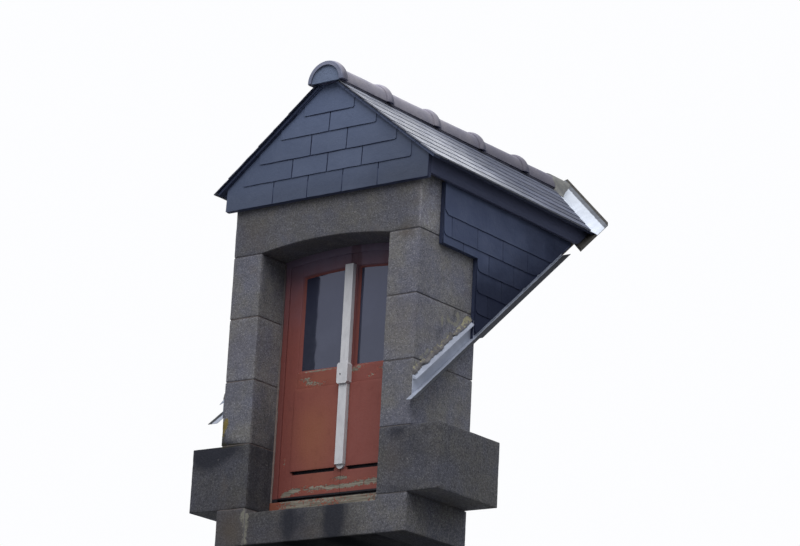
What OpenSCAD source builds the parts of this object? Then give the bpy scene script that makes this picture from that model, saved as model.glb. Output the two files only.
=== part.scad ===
// Granite wall dormer with a slate-hung gable, a saddle roof and slate-hung cheeks.
// The drawing frame inside the modules: x across the front from the middle of the opening,
// y into the house from the face of the stone, z up from the top of the sill.
// place() then sets the bed of the sill on z = 0 with the origin in its middle.

/* [Opening] */
// Clear width between the jambs
opening_w = 800; // [600:10:1200]
// Height from the sill to the springing of the lintel's arch
opening_h = 1312; // [900:10:1800]
// Rise of the lintel's soffit at mid span
arch_rise = 34; // [10:1:90]

/* [Masonry] */
// Width of a jamb stone across the front
jamb_w = 184; // [140:2:260]
// Width of the lowest jamb stones, which bond into the house wall
bond_w = 364; // [260:2:500]
// Number of stones in each jamb
courses = 4; // [3:1:6]
// Thickness of the house wall
wall_t = 500; // [400:10:600]
// Height of the sill stone
sill_h = 188; // [120:2:240]
// Fall of the sill's weathered top, from the joinery to its front edge
sill_fall = 25; // [8:1:40]
// Height of the lintel stone above the springing
lintel_h = 290; // [220:2:360]
// Depth of the outer reveal, from the face to the joinery
reveal_d = 200; // [140:5:260]
// Depth of the rebate that holds the joinery
rebate_d = 60; // [55:1:90]
// Width of the rebate behind each side of the reveal
rebate_w = 45; // [35:1:70]

/* [Joinery] */
// Visible width of the frame inside the reveal
frame_show = 35; // [20:1:60]
// Thickness of the frame
frame_t = 52; // [50:1:58]
// Height of the threshold above the sill's seat
threshold_top = 60; // [45:1:80]
// How far the threshold's nose stands out in front of the frame
nose_out = 16; // [8:1:30]
// Play round each leaf
leaf_play = 2; // [1:0.5:4]
// Gap under the leaves
leaf_lift = 17; // [6:1:24]
// Thickness of a leaf
leaf_t = 42; // [36:1:46]
// Thickness of the frame's lip in front of the leaves
leaf_set = 8; // [5:1:9]
// How far the frame's rebate for the leaves is cut behind that lip
leaf_lap = 12; // [8:1:18]
// Visible width of the hanging stiles
stile_w = 77; // [60:1:105]
// Width of each meeting stile beside the glass
meeting_w = 41; // [38:1:60]
// Visible height of the leaf's top rail
top_rail_h = 65; // [45:1:90]
// Height of the bottom rail
bottom_rail_h = 120; // [80:1:180]
// Top of the middle rail above the sill's seat
glass_low = 724; // [500:2:1000]
// Height of the middle rail
mid_rail_h = 88; // [60:1:120]
// Where the leaves meet, to the right of the middle
meeting_x = 19; // [-30:1:30]
// Thickness of the panes
glass_t = 4; // [3:0.5:6]
// How far the lower panels stand out in front of the rails
panel_out = 8; // [4:1:14]
// Thickness of the lower panels behind the face of the rails
panel_t = 28; // [24:1:32]
// How much wider than the panes the lower panels are, on each side
panel_side = 8; // [0:1:14]
// Width of the rounding round the lower panels
panel_ease = 3; // [1:0.5:6]
// Height of the open groove under the lower panels
groove_h = 15; // [6:1:20]
// Depth of that groove behind the face of the rails
groove_d = 18; // [8:1:20]
// Width of the white cover strip
strip_w = 50; // [35:1:70]
// Thickness of the cover strip
strip_t = 25; // [15:1:35]
// Width of the lock block on the strip
block_w = 66; // [50:1:90]
// Thickness of the lock block
block_t = 37; // [20:1:50]
// Height of the lock block
block_h = 106; // [70:1:140]
// Radius of the keyhole
keyhole_r = 5; // [3:0.5:8]

/* [Roof] */
// Pitch of the dormer's roof
pitch = 38; // [34:0.5:44]
// Pitch of the house roof
main_pitch = 40; // [36:0.5:48]
// Height at which the house roof's slates meet the face of the wall
main_z = 484; // [400:2:600]
// How far the tips of the eave slates reach past the gable's side
eave_reach = 68; // [44:1:130]
// Height of the slates' face at the eave tips above the lintel
eave_rise = 53; // [40:1:150]
// How far the roof stands out in front of the stone
verge_out = 57; // [50:1:90]
// How far the slates pass the boards at the eave and the verge
slate_drip = 14; // [8:1:25]
// Thickness of the roof's slate covering
roof_slate_t = 10; // [8:1:16]
// Thickness of the roof's boards
roof_board_t = 14; // [12:1:22]
// Thickness of the boards behind the wall slates
board_t = 18; // [15:1:24]
// Breadth of the rafters
rafter_b = 60; // [50:1:80]
// Depth of the rafters
rafter_d = 75; // [60:1:100]
// Spacing of the rafters
rafter_gap = 400; // [300:10:500]
// Breadth of the ridge beam
ridge_b = 60; // [50:1:80]
// Depth of the ridge beam
ridge_d = 150; // [100:5:200]
// Breadth of the wall plates and cheek studs
plate_b = 60; // [50:1:80]
// Height of the wall plates
plate_h = 80; // [60:1:100]
// Spacing of the cheek studs
stud_gap = 340; // [250:10:450]
// Thickness of the fascia boards
fascia_t = 20; // [15:1:25]
// How far the fascia's lower edge lies below the lintel's top
fascia_drop = 20; // [2:1:50]
// Clearance between the fascia and the cheek's slates
fascia_gap = 2; // [1:1:30]

/* [Gable and cheeks] */
// How far the gable slates' lower edge hangs below the lintel's top
gable_drop = 46; // [10:1:80]
// Thickness of the wall slates
wall_slate_t = 12; // [8:1:16]
// How far the lintel's side shows in front of the cheek
cheek_front = 164; // [120:1:190]
// How far the upper jamb stones show in front of the cheek
cheek_step_y = 460; // [380:1:480]
// How far the cheek comes down over the topmost jamb stone, below the springing
cheek_step_drop = 40; // [10:1:110]
// How far below the lintel's top the cheek stops under the rafters
cheek_gap = 14; // [11:1:19]

/* [Ridge] */
// How far the front ridge tile stands out in front of the stone
ridge_out = 78; // [75:1:110]
// Outer radius of a tile at its narrow end
tile_small_r = 95; // [92:1:97]
// Outer radius of a tile in front of its collar
tile_big_r = 102; // [98:1:104]
// Outer radius of the rolled collars
collar_r = 116; // [112:1:120]
// Height of a collar's roll above its edges
roll_rise = 8; // [5:0.5:9]
// Wall of the tiles
tile_t = 12; // [10:0.5:12]
// Width of the collars along the ridge
collar_w = 56; // [44:1:70]
// Distance from the front tile's face to the first collar's middle
first_tile = 420; // [380:1:460]
// Distance between the collars
tile_step = 418; // [380:1:440]
// Height of the tiles' lower edges above the slates, under a narrow end
tile_gap = 13; // [13:0.5:18]
// Thickness of the mortar that closes the front tile
cap_t = 13; // [8:1:16]

/* [Zinc and mortar] */
// Thickness of the zinc
zinc_t = 2; // [1:0.5:3]
// Width of the valley sheet on the house roof, along the slope of the house
valley_out = 95; // [70:5:220]
// Width of the valley sheet under the dormer's slates
valley_in = 110; // [80:5:150]
// Distance of the cut slates from the valley's bottom
valley_bare = 52; // [30:1:80]
// Width of the flashing on the house roof
flash_w = 60; // [45:5:150]
// Height of the flashing's upstand above the slates
flash_h = 62; // [40:1:90]
// Width of the hood that covers the upstand
hood_w = 26; // [15:1:35]
// Height of the hood's top above the upstand
hood_t = 3; // [2:0.5:5]
// Size of the mortar fillet above the flashing
fillet = 30; // [15:1:40]

/* [Hidden] */
$fn = 96;

// Reach of the blocks that cut along a plane
far = 4000;
// Clearance of round pieces from what they rest on
seat = 0.3;

half_w = opening_w / 2;
outer_w = half_w + jamb_w;
course_h = opening_h / courses;
rebate_x = half_w + rebate_w;
arch_r = (half_w * half_w + arch_rise * arch_rise) / (2 * arch_rise);
arch_z = opening_h + arch_rise - arch_r;
lintel_top = opening_h + lintel_h;
cheek_x = outer_w + board_t;
cheek_face = cheek_x + wall_slate_t;
cheek_step_z = opening_h - cheek_step_drop;
cheek_top = lintel_top - cheek_gap;
tail_x = cheek_face + fascia_gap;
gable_half = tail_x + fascia_t;
gable_low = lintel_top - gable_drop;
fascia_low = lintel_top - fascia_drop;
eave_half = gable_half + eave_reach;
eave_z = lintel_top + eave_rise;
head_top = opening_h + arch_rise + rebate_w;
stone_lintel_d = reveal_d + rebate_d;

frame_in = half_w - frame_show;
leaf_y = reveal_d + leaf_set;
leaf_out = frame_in + leaf_lap - leaf_play;
light_out = frame_in - stile_w;
leaf_low = threshold_top + leaf_lift;
rail_top = leaf_low + bottom_rail_h;
panel_low = rail_top + groove_h;
panel_high = glass_low - mid_rail_h;
glass_y = leaf_y + (leaf_t - glass_t) / 2;
strip_low = panel_low + 11;
strip_high = arch_z + arch_r - frame_show - top_rail_h + 4;
block_low = panel_high - 6;

tan_d = tan(pitch);
tan_m = tan(main_pitch);
apex_z = eave_z + eave_half * tan_d;
// Upright thickness of a layer that lies on the dormer's roof, or on the house roof
function rise_d(t) = t / cos(pitch);
function rise_m(t) = t / cos(main_pitch);
cover_t = roof_slate_t + roof_board_t;
// Height of the underside of the dormer's boards, and of its rafters, at a distance x from the middle
function boards_z(x) = apex_z - rise_d(cover_t) - x * tan_d;
function rafters_z(x) = apex_z - rise_d(cover_t + rafter_d) - x * tan_d;
// Height of a plane that lies at a depth t under the house roof's slate face, at a distance y behind the wall's face
function house_z(t, y) = main_z - rise_m(t) + y * tan_m;
function house_y(t, z) = (z - main_z + rise_m(t)) / tan_m;
// Place along y where the boards of both roofs meet, at a distance x from the middle
function valley_y(x) = (apex_z - rise_d(roof_slate_t) - main_z + rise_m(roof_slate_t) - x * tan_d) / tan_m;

plate_top = lintel_top + 38;
plate_low = plate_top - plate_h;
plate_in = outer_w - plate_b;
board_half = eave_half - slate_drip;
board_front = verge_out - slate_drip;
gable_front = board_t + wall_slate_t;
beam_top = boards_z(ridge_b / 2);
beam_low = beam_top - ridge_d;
roof_end = valley_y(0) + 400;

tile_axis = apex_z - tile_small_r * tan_d + tile_gap;
collar_half = collar_w / 2;
collar_in = tile_small_r + 4;
front_bore = tile_small_r - 7;
bed_in = tile_small_r - 15;
bed_out = tile_big_r - tile_t + 1.5;
tile_lap = 12;
ridge_stop = house_y(0, tile_axis) - 20;
function collar_y(k) = -ridge_out + first_tile + (k - 1) * tile_step;
// Tiles as long as the first ones, with the last one cut off by the house roof
tile_count = floor((ridge_stop - 100 - collar_y(1)) / tile_step) + 2;

/* Helpers */

// Sets the drawing on the bed of the sill
module place() {
    translate([0, -wall_t / 2, sill_h]) children();
}

// A block given by its lowest and highest corners
module block(low, high) {
    translate(low) cube(high - low);
}

// An outline in x and z, drawn from y0 to y1
module front_shape(y0, y1) {
    translate([0, y1, 0]) rotate([90, 0, 0]) linear_extrude(height = y1 - y0) children();
}

// An outline in y and z, drawn from x0 to x1
module side_shape(x0, x1) {
    translate([x0, 0, 0]) rotate([90, 0, 90]) linear_extrude(height = x1 - x0) children();
}

// An outline in x and y, drawn over the whole height
module plan_shape() {
    translate([0, 0, -far / 2]) linear_extrude(height = 2 * far) children();
}

// The space between two depths under the face of the dormer's right slope
module right_slope(deep, shallow) {
    translate([0, 0, apex_z]) rotate([0, pitch, 0])
        translate([-far / 4, -far / 4, -deep]) cube([far, 1.5 * far, deep - shallow]);
}

// The space between two depths under the face of the house roof
module house_slope(deep, shallow) {
    translate([0, 0, main_z]) rotate([main_pitch, 0, 0])
        translate([-far / 2, -far / 4, -deep]) cube([far, 1.5 * far, deep - shallow]);
}

// All that lies above a depth under the face of the house roof
module above_house(depth) {
    house_slope(depth, depth - far);
}

// All that lies above a depth under the face of the dormer's right slope
module above_right_slope(depth) {
    right_slope(depth, depth - far);
}

// The solid prism under a saddle whose faces lie at a depth under the slates
module saddle(depth, y0, y1) {
    top = apex_z - rise_d(depth);
    front_shape(y0, y1) polygon([[0, top], [far / 2, top - far / 2 * tan_d], [-far / 2, top - far / 2 * tan_d]]);
}

// The part of the plan between the ridge and x1, from y0 to a line that runs beside the valley
module slope_plan(x1, y0, beside) {
    polygon([[0, y0], [x1, y0], [x1, valley_y(x1) + beside], [0, valley_y(0) + beside]]);
}

// A band of the plan along the valley
module valley_plan(x1, from, to) {
    polygon([[0, valley_y(0) + from], [x1, valley_y(x1) + from], [x1, valley_y(x1) + to], [0, valley_y(0) + to]]);
}

// The opening below a concentric arch that lies inside the lintel's soffit
module arched(half, low, inset) {
    intersection() {
        translate([-half, low]) square([2 * half, opening_h + arch_rise - low]);
        translate([0, arch_z]) circle(r = arch_r - inset, $fn = 360);
    }
}

/* Masonry */

module sill_stone() {
    color("dimgray") place() difference() {
        block([-outer_w, 0, -sill_h], [outer_w, wall_t, 0]);
        side_shape(-half_w, half_w) polygon([[-1, 1], [-1, -sill_fall], [0, -sill_fall], [reveal_d - nose_out, 0], [reveal_d - nose_out, 1]]);
    }
}

// One stone of the right jamb, with the rebate for the joinery cut behind its reveal
module jamb_stone(k, width) {
    translate([0, 0, (k - 1) * course_h]) linear_extrude(height = course_h)
        polygon([[half_w, 0], [half_w + width, 0], [half_w + width, wall_t],
                 [rebate_x, wall_t], [rebate_x, reveal_d], [half_w, reveal_d]]);
}

module right_jamb(k) {
    color("gray") place() jamb_stone(k, k == 1 ? bond_w : jamb_w);
}

module left_jamb(k) {
    mirror([1, 0, 0]) right_jamb(k);
}

module lintel_stone() {
    color("gray") place() {
        front_shape(0, reveal_d) difference() {
            translate([-outer_w, opening_h]) square([2 * outer_w, lintel_h]);
            arched(half_w, opening_h - 1, 0);
        }
        front_shape(reveal_d, stone_lintel_d)
            polygon([[-outer_w, opening_h], [-rebate_x, opening_h], [-rebate_x, head_top], [rebate_x, head_top],
                     [rebate_x, opening_h], [outer_w, opening_h], [outer_w, lintel_top], [-outer_w, lintel_top]]);
    }
}

module inner_lintel() {
    color("saddlebrown") place()
        block([-outer_w, stone_lintel_d, opening_h], [outer_w, wall_t, plate_low]);
}

/* Joinery */

module window_frame() {
    color("brown") place() difference() {
        block([-rebate_x, reveal_d, threshold_top], [rebate_x, reveal_d + frame_t, head_top]);
        front_shape(reveal_d - 1, leaf_y + 1) arched(frame_in, threshold_top - 1, frame_show);
        front_shape(leaf_y, reveal_d + frame_t + 1) arched(frame_in + leaf_lap, threshold_top - 1, frame_show - leaf_lap);
    }
}

module window_threshold() {
    nose_y = reveal_d - nose_out;
    color("brown") place() {
        side_shape(-half_w, half_w)
            polygon([[nose_y + 3, 0], [reveal_d + 1, 0], [reveal_d + 1, threshold_top], [reveal_d, threshold_top],
                     [nose_y + 2, threshold_top - 2], [nose_y, threshold_top - 5], [nose_y, 8], [nose_y + 3, 5]]);
        block([-rebate_x, reveal_d, 0], [rebate_x, reveal_d + frame_t, threshold_top]);
    }
}

// The outline of a leaf between its meeting line and its hanging stile; side is 1 for the right leaf
module leaf_outline(side) {
    x0 = side > 0 ? meeting_x + leaf_play / 2 : -leaf_out;
    x1 = side > 0 ? leaf_out : meeting_x - leaf_play / 2;
    intersection() {
        arched(leaf_out, leaf_low, frame_show - leaf_lap + leaf_play);
        translate([x0, 0]) square([x1 - x0, far]);
    }
}

// The glazed opening of a leaf
module leaf_light(side) {
    x0 = side > 0 ? meeting_x + meeting_w : -light_out;
    x1 = side > 0 ? light_out : meeting_x - meeting_w;
    intersection() {
        arched(light_out, glass_low, frame_show + top_rail_h);
        translate([x0, 0]) square([x1 - x0, far]);
    }
}

// The left and right edge of a leaf's lower panel
function panel_from(side) = side > 0 ? meeting_x + meeting_w - panel_side : -light_out - panel_side;
function panel_to(side) = side > 0 ? light_out + panel_side : meeting_x - meeting_w + panel_side;

// A raised panel with eased edges, and the tongue that closes the groove under it
module leaf_panel(side) {
    x0 = panel_from(side);
    x1 = panel_to(side);
    face = leaf_y - panel_out;
    e = panel_ease;
    intersection() {
        side_shape(x0, x1)
            polygon([[face, panel_low + e], [face + e, panel_low], [leaf_y + groove_d, panel_low], [leaf_y + groove_d, rail_top],
                     [leaf_y + panel_t, rail_top], [leaf_y + panel_t, panel_high], [face + e, panel_high], [face, panel_high - e]]);
        plan_shape()
            polygon([[x0 + e, face], [x0, face + e], [x0, leaf_y + panel_t],
                     [x1, leaf_y + panel_t], [x1, face + e], [x1 - e, face]]);
    }
}

module leaf(side) {
    color("firebrick") place() {
        front_shape(leaf_y, leaf_y + leaf_t) difference() {
            leaf_outline(side);
            leaf_light(side);
            translate([panel_from(side), rail_top]) square([panel_to(side) - panel_from(side), panel_high - rail_top]);
        }
        leaf_panel(side);
    }
}

module left_leaf() { leaf(-1); }

module right_leaf() { leaf(1); }

module glass_panes() {
    color("slategray") place() for (side = [-1, 1])
        front_shape(glass_y, glass_y + glass_t) leaf_light(side);
}

module cover_strip() {
    x0 = meeting_x - strip_w / 2 + 3;
    mid = x0 + strip_w / 2;
    shoulder = (block_w - strip_w) / 2;
    color("whitesmoke") place() difference() {
        union() {
            block([x0, leaf_y - strip_t, strip_low], [x0 + strip_w, leaf_y, strip_high]);
            front_shape(leaf_y - strip_t / 2, leaf_y) intersection() {
                translate([mid, strip_low + 2]) circle(d = strip_w - 2);
                translate([x0, strip_low - strip_w]) square([strip_w, strip_w + 1]);
            }
            front_shape(leaf_y - block_t, leaf_y)
                polygon([[x0, block_low], [x0 + strip_w, block_low],
                         [x0 + strip_w + shoulder, block_low + shoulder],
                         [x0 + strip_w + shoulder, block_low + block_h - shoulder], [x0 + strip_w, block_low + block_h],
                         [x0, block_low + block_h], [x0 - shoulder, block_low + block_h - shoulder],
                         [x0 - shoulder, block_low + shoulder]]);
        }
        translate([mid - strip_w / 4, leaf_y - block_t - 1, block_low + block_h / 2 - 6])
            rotate([-90, 0, 0]) cylinder(r = keyhole_r, h = block_t / 2 + 1, $fn = 24);
    }
}

/* Timber frame */

module gable_frame() {
    color("burlywood") place() {
        block([-outer_w, 0, lintel_top], [outer_w, rafter_b, plate_top]);
        block([-ridge_b / 2, 0, plate_top], [ridge_b / 2, rafter_b, beam_low]);
    }
}

module right_wall_plate() {
    color("burlywood") place() intersection() {
        block([plate_in, stone_lintel_d, plate_low], [outer_w, far, plate_top]);
        above_house(cover_t);
    }
}

module left_wall_plate() { mirror([1, 0, 0]) right_wall_plate(); }

module ridge_beam() {
    color("burlywood") place() intersection() {
        block([-ridge_b / 2, 0, beam_low], [ridge_b / 2, far, beam_top]);
        above_house(roof_slate_t);
    }
}

module right_rafters() {
    count = floor(valley_y(ridge_b / 2) / rafter_gap);
    color("burlywood") place() for (k = [0 : count]) intersection() {
        difference() {
            right_slope(cover_t + rafter_d, cover_t);
            block([0, -1, 0], [outer_w, far, plate_top]);
        }
        block([ridge_b / 2, k * rafter_gap, 0], [tail_x, k * rafter_gap + rafter_b, far]);
        above_house(roof_slate_t);
    }
}

module left_rafters() { mirror([1, 0, 0]) right_rafters(); }

module right_cheek_frame() {
    sole = cover_t - plate_b;
    last = house_y(sole, plate_low) - plate_b;
    color("burlywood") place() side_shape(plate_in, outer_w) {
        polygon([[wall_t, house_z(cover_t, wall_t)], [house_y(cover_t, plate_low), plate_low],
                 [house_y(sole, plate_low), plate_low], [wall_t, house_z(sole, wall_t)]]);
        for (y = [wall_t : stud_gap : last])
            polygon([[y, house_z(sole + 1, y)], [y + plate_b, house_z(sole + 1, y + plate_b)],
                     [y + plate_b, plate_low], [y, plate_low]]);
    }
}

module left_cheek_frame() { mirror([1, 0, 0]) right_cheek_frame(); }

module right_valley_board() {
    color("tan") place() difference() {
        intersection() {
            house_slope(cover_t, roof_slate_t);
            plan_shape() valley_plan(board_half, -140, valley_out + 20);
        }
        block([plate_in, 0, plate_low], [outer_w, far, plate_top]);
    }
}

module left_valley_board() { mirror([1, 0, 0]) right_valley_board(); }

/* Boarding */

module gable_outline() {
    polygon([[-gable_half, gable_low], [gable_half, gable_low], [gable_half, boards_z(gable_half)],
             [0, boards_z(0)], [-gable_half, boards_z(gable_half)]]);
}

module gable_boards() {
    color("tan") place() front_shape(-board_t, 0) gable_outline();
}

module right_roof_boards() {
    color("tan") place() intersection() {
        right_slope(cover_t, roof_slate_t);
        plan_shape() slope_plan(board_half, -board_front, 300);
        above_house(roof_slate_t);
    }
}

module left_roof_boards() { mirror([1, 0, 0]) right_roof_boards(); }

// The outline of a cheek, down to a depth under the house roof's slate face
module cheek_outline(depth) {
    polygon([[cheek_front, cheek_step_z], [cheek_step_y, cheek_step_z], [cheek_step_y, house_z(depth, cheek_step_y)],
             [house_y(depth, cheek_top), cheek_top], [cheek_front, cheek_top]]);
}

module right_cheek_boards() {
    color("tan") place() side_shape(outer_w, cheek_x) cheek_outline(roof_slate_t);
}

module left_cheek_boards() { mirror([1, 0, 0]) right_cheek_boards(); }

module right_fascia() {
    color("black") place() intersection() {
        front_shape(0, far)
            polygon([[tail_x, fascia_low], [gable_half, fascia_low], [gable_half, boards_z(gable_half)], [tail_x, boards_z(tail_x)]]);
        above_house(roof_slate_t);
    }
}

module left_fascia() { mirror([1, 0, 0]) right_fascia(); }

/* Slates */

module gable_slates() {
    color("slategray") place() front_shape(-gable_front, -board_t) gable_outline();
}

module right_roof_slates() {
    color("lightslategray") place() difference() {
        intersection() {
            right_slope(roof_slate_t, 0);
            plan_shape() slope_plan(eave_half, -verge_out, -valley_bare);
        }
        intersection() {
            right_slope(roof_slate_t + 1, roof_slate_t - zinc_t);
            plan_shape() valley_plan(eave_half + 1, -valley_in, 0);
        }
    }
}

module left_roof_slates() { mirror([1, 0, 0]) right_roof_slates(); }

module right_cheek_slates() {
    color("darkslategray") place() difference() {
        side_shape(cheek_x, cheek_face) cheek_outline(0);
        intersection() {
            block([cheek_x - 1, cheek_step_y, 0], [cheek_x + zinc_t, far, far]);
            house_slope(far / 2, -flash_h);
        }
    }
}

module left_cheek_slates() { mirror([1, 0, 0]) right_cheek_slates(); }

/* Zinc and mortar */

module right_valley_zinc() {
    low_x = eave_half + 8;
    color("gainsboro") place() {
        intersection() {
            house_slope(roof_slate_t, roof_slate_t - zinc_t);
            plan_shape() valley_plan(low_x, 0, valley_out);
        }
        intersection() {
            right_slope(roof_slate_t, roof_slate_t - zinc_t);
            plan_shape() valley_plan(board_half, -valley_in, 2);
            above_house(roof_slate_t);
        }
    }
}

module left_valley_zinc() { mirror([1, 0, 0]) right_valley_zinc(); }

// A length of flashing beside the right cheek: foot on the house roof and upstand against the plane x0
module flashing_length(x0, y0, y1, high) {
    intersection() {
        union() {
            intersection() {
                house_slope(roof_slate_t, roof_slate_t - zinc_t);
                block([x0, y0, 0], [x0 + flash_w, y1, far]);
            }
            intersection() {
                house_slope(roof_slate_t, -high);
                block([x0, y0, 0], [x0 + zinc_t, y1, far]);
            }
        }
        block([0, -far, 0], [far, far, cheek_top]);
    }
}

module right_flashing() {
    back = house_y(-flash_h, cheek_top);
    color("lightsteelblue") place() {
        flashing_length(outer_w, 0, cheek_step_y, flash_h);
        intersection() {
            house_slope(roof_slate_t, roof_slate_t - zinc_t);
            block([outer_w, -40, 0], [outer_w + flash_w, 1, far]);
        }
        flashing_length(cheek_x, cheek_step_y, back, flash_h);
        intersection() {
            translate([0, 0, main_z]) rotate([main_pitch, 0, 0]) translate([0, -far / 4, flash_h])
                rotate([90, 0, 180]) linear_extrude(height = far)
                    polygon([[-outer_w, hood_t], [-outer_w, -10], [-outer_w - zinc_t - 1, -10], [-outer_w - hood_w, -16],
                             [-outer_w - hood_w, -13], [-outer_w - zinc_t - 1, hood_t]]);
            block([outer_w, 0, 0], [far, cheek_step_y - 5, far]);
        }
    }
}

module left_flashing() { mirror([1, 0, 0]) right_flashing(); }

// Mortar fillet over the flashing against the right jamb
module jamb_fillet() {
    intersection() {
        translate([0, 0, main_z]) rotate([main_pitch, 0, 0]) translate([0, -far / 4, flash_h + hood_t])
            rotate([90, 0, 180]) linear_extrude(height = far)
                polygon([[-outer_w, 0], [-outer_w - fillet * 0.8, 0], [-outer_w - fillet * 0.35, fillet * 0.6], [-outer_w, fillet * 1.2]]);
        block([outer_w, 0, 0], [far, cheek_step_y, far]);
    }
}

module mortar() {
    color("tan") place() {
        jamb_fillet();
        mirror([1, 0, 0]) jamb_fillet();
        front_plug();
        ridge_bed();
        mirror([1, 0, 0]) ridge_bed();
        back_bed();
    }
}

// A round bar along the ridge
module ridge_bar(r, y0, y1) {
    translate([0, y1, tile_axis]) rotate([90, 0, 0]) cylinder(r = r, h = y1 - y0);
}

// All that lies above the tiles' lower edges
module above_edges() {
    block([-far, -far, tile_axis], [far, far, 2 * far]);
}

// The disc of mortar that closes the front tile, and the mortar behind it under the tips of both slopes
module front_plug() {
    intersection() {
        union() {
            ridge_bar(front_bore, -verge_out - cap_t, -verge_out);
            saddle(roof_slate_t, -verge_out - 1, -board_front);
            saddle(cover_t, -board_front - 1, -gable_front);
        }
        above_edges();
    }
}

// The strip of mortar between the slates and the tiles' right edges, set back under them
module ridge_bed() {
    difference() {
        block([bed_in, -verge_out, rafters_z(bed_out)], [bed_out, ridge_stop, tile_axis]);
        saddle(0, -far, far);
    }
}

// The bed that runs the last tile into the house roof, over the heads of both valleys
module back_bed() {
    difference() {
        intersection() {
            ridge_bar(tile_big_r, ridge_stop, roof_end);
            above_house(roof_slate_t - zinc_t);
        }
        saddle(roof_slate_t - zinc_t, 0, far);
        intersection() {
            saddle(0, 0, far);
            union() {
                plan_shape() slope_plan(eave_half, 0, -valley_bare);
                mirror([1, 0, 0]) plan_shape() slope_plan(eave_half, 0, -valley_bare);
            }
        }
    }
}

// The outer half of a roll round the collar whose middle lies at y
module roll_profile(y) {
    r = (collar_half * collar_half + roll_rise * roll_rise) / (2 * roll_rise);
    intersection() {
        translate([collar_r - r, y]) circle(r = r, $fn = 180);
        translate([collar_r - roll_rise, y - collar_half]) square([2 * roll_rise, collar_w]);
    }
}

// The profile of one tile, as radius against distance along the ridge, with a collar at its end unless it is the last
module tile_profile(y0, y1, last) {
    r0 = tile_small_r;
    r1 = tile_big_r;
    yc = last ? y1 : y1 - collar_w;
    polygon([[r0 - tile_t, y0], [r0, y0], [r1, yc], [r1 - tile_t, yc]]);
    if (!last) {
        translate([collar_in, yc]) square([collar_r - roll_rise - collar_in, collar_w]);
        roll_profile(yc + collar_half);
        translate([r1 - tile_t, yc - 1]) square([collar_r - roll_rise - r1 + tile_t, 9]);
    }
}

// The profile of the rolled rim round the front tile's face
module rim_profile(y0) {
    translate([front_bore, y0]) square([collar_r - roll_rise - front_bore, collar_w]);
    roll_profile(y0 + collar_half);
}

// Turns a profile of radius against distance into the upper half of a shell round the tiles' axis
module turned() {
    intersection() {
        translate([0, 0, tile_axis]) rotate([-90, 0, 0]) rotate_extrude() children();
        above_edges();
    }
}

module ridge_tiles() {
    color("rosybrown") place() for (k = [1 : tile_count]) {
        y0 = k == 1 ? -ridge_out + collar_w - 1 : collar_y(k - 1) + collar_half - tile_lap;
        y1 = k == tile_count ? ridge_stop : collar_y(k) + collar_half;
        turned() union() {
            tile_profile(y0, y1, k == tile_count);
            if (k == 1) rim_profile(-ridge_out);
        }
    }
}

sill_stone();
left_jamb(1);  // left_jamb_1
left_jamb(2);  // left_jamb_2
left_jamb(3);  // left_jamb_3
left_jamb(4);  // left_jamb_4
right_jamb(1);  // right_jamb_1
right_jamb(2);  // right_jamb_2
right_jamb(3);  // right_jamb_3
right_jamb(4);  // right_jamb_4
lintel_stone();
inner_lintel();
window_frame();
window_threshold();
left_leaf();
right_leaf();
glass_panes();
cover_strip();
gable_frame();
left_wall_plate();
right_wall_plate();
ridge_beam();
left_rafters();
right_rafters();
left_cheek_frame();
right_cheek_frame();
left_valley_board();
right_valley_board();
gable_boards();
left_roof_boards();
right_roof_boards();
left_cheek_boards();
right_cheek_boards();
left_fascia();
right_fascia();
gable_slates();
left_roof_slates();
right_roof_slates();
left_cheek_slates();
right_cheek_slates();
left_valley_zinc();
right_valley_zinc();
left_flashing();
right_flashing();
mortar();
ridge_tiles();
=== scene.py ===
"""Looks for a granite wall dormer: stones, joinery, slates, ridge tiles, zinc and timber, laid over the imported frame.

Shapes are worked out in the drawing frame of the dormer: x across the front from the middle of the opening,
y inwards from the face of the stone, z up from the foot of the jambs. PLACE moves them into the shared frame.
The cheeks, flashings and valleys lie along one sloping plane, called the seat. Lengths are in metres.

A part is (points, quads, marks). A mark is one number for the part, or one for each point, that the finishes read.
"""
import math

import bpy
import numpy as np
from bpy.props import FloatProperty, FloatVectorProperty, IntProperty, PointerProperty
from mathutils import Matrix, Vector


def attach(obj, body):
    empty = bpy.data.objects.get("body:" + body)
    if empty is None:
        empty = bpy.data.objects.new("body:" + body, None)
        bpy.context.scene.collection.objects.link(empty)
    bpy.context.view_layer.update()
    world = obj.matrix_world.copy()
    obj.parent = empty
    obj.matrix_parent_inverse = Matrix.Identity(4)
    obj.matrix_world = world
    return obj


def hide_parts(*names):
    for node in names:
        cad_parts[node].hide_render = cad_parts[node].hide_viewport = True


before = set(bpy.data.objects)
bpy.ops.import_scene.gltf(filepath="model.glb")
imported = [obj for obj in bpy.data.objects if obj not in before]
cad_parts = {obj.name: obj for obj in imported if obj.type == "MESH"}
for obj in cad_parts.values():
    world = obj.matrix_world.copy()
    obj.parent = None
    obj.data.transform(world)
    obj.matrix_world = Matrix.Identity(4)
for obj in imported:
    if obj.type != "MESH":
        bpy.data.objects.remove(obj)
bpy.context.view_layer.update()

bl_info = {
    "name": "Wall dormer looks",
    "version": (1, 0, 0),
    "blender": (4, 5, 0),
    "location": "3D View > Sidebar > Dormer",
    "description": "Lays stone, slate, joinery, clay and zinc over the frame of a wall dormer",
    "category": "Object",
}

# The drawing frame's origin in the shared frame
PLACE = np.array([0.0, -0.25, 0.188])
SIDES = ((1, "right"), (-1, "left"))

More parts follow.
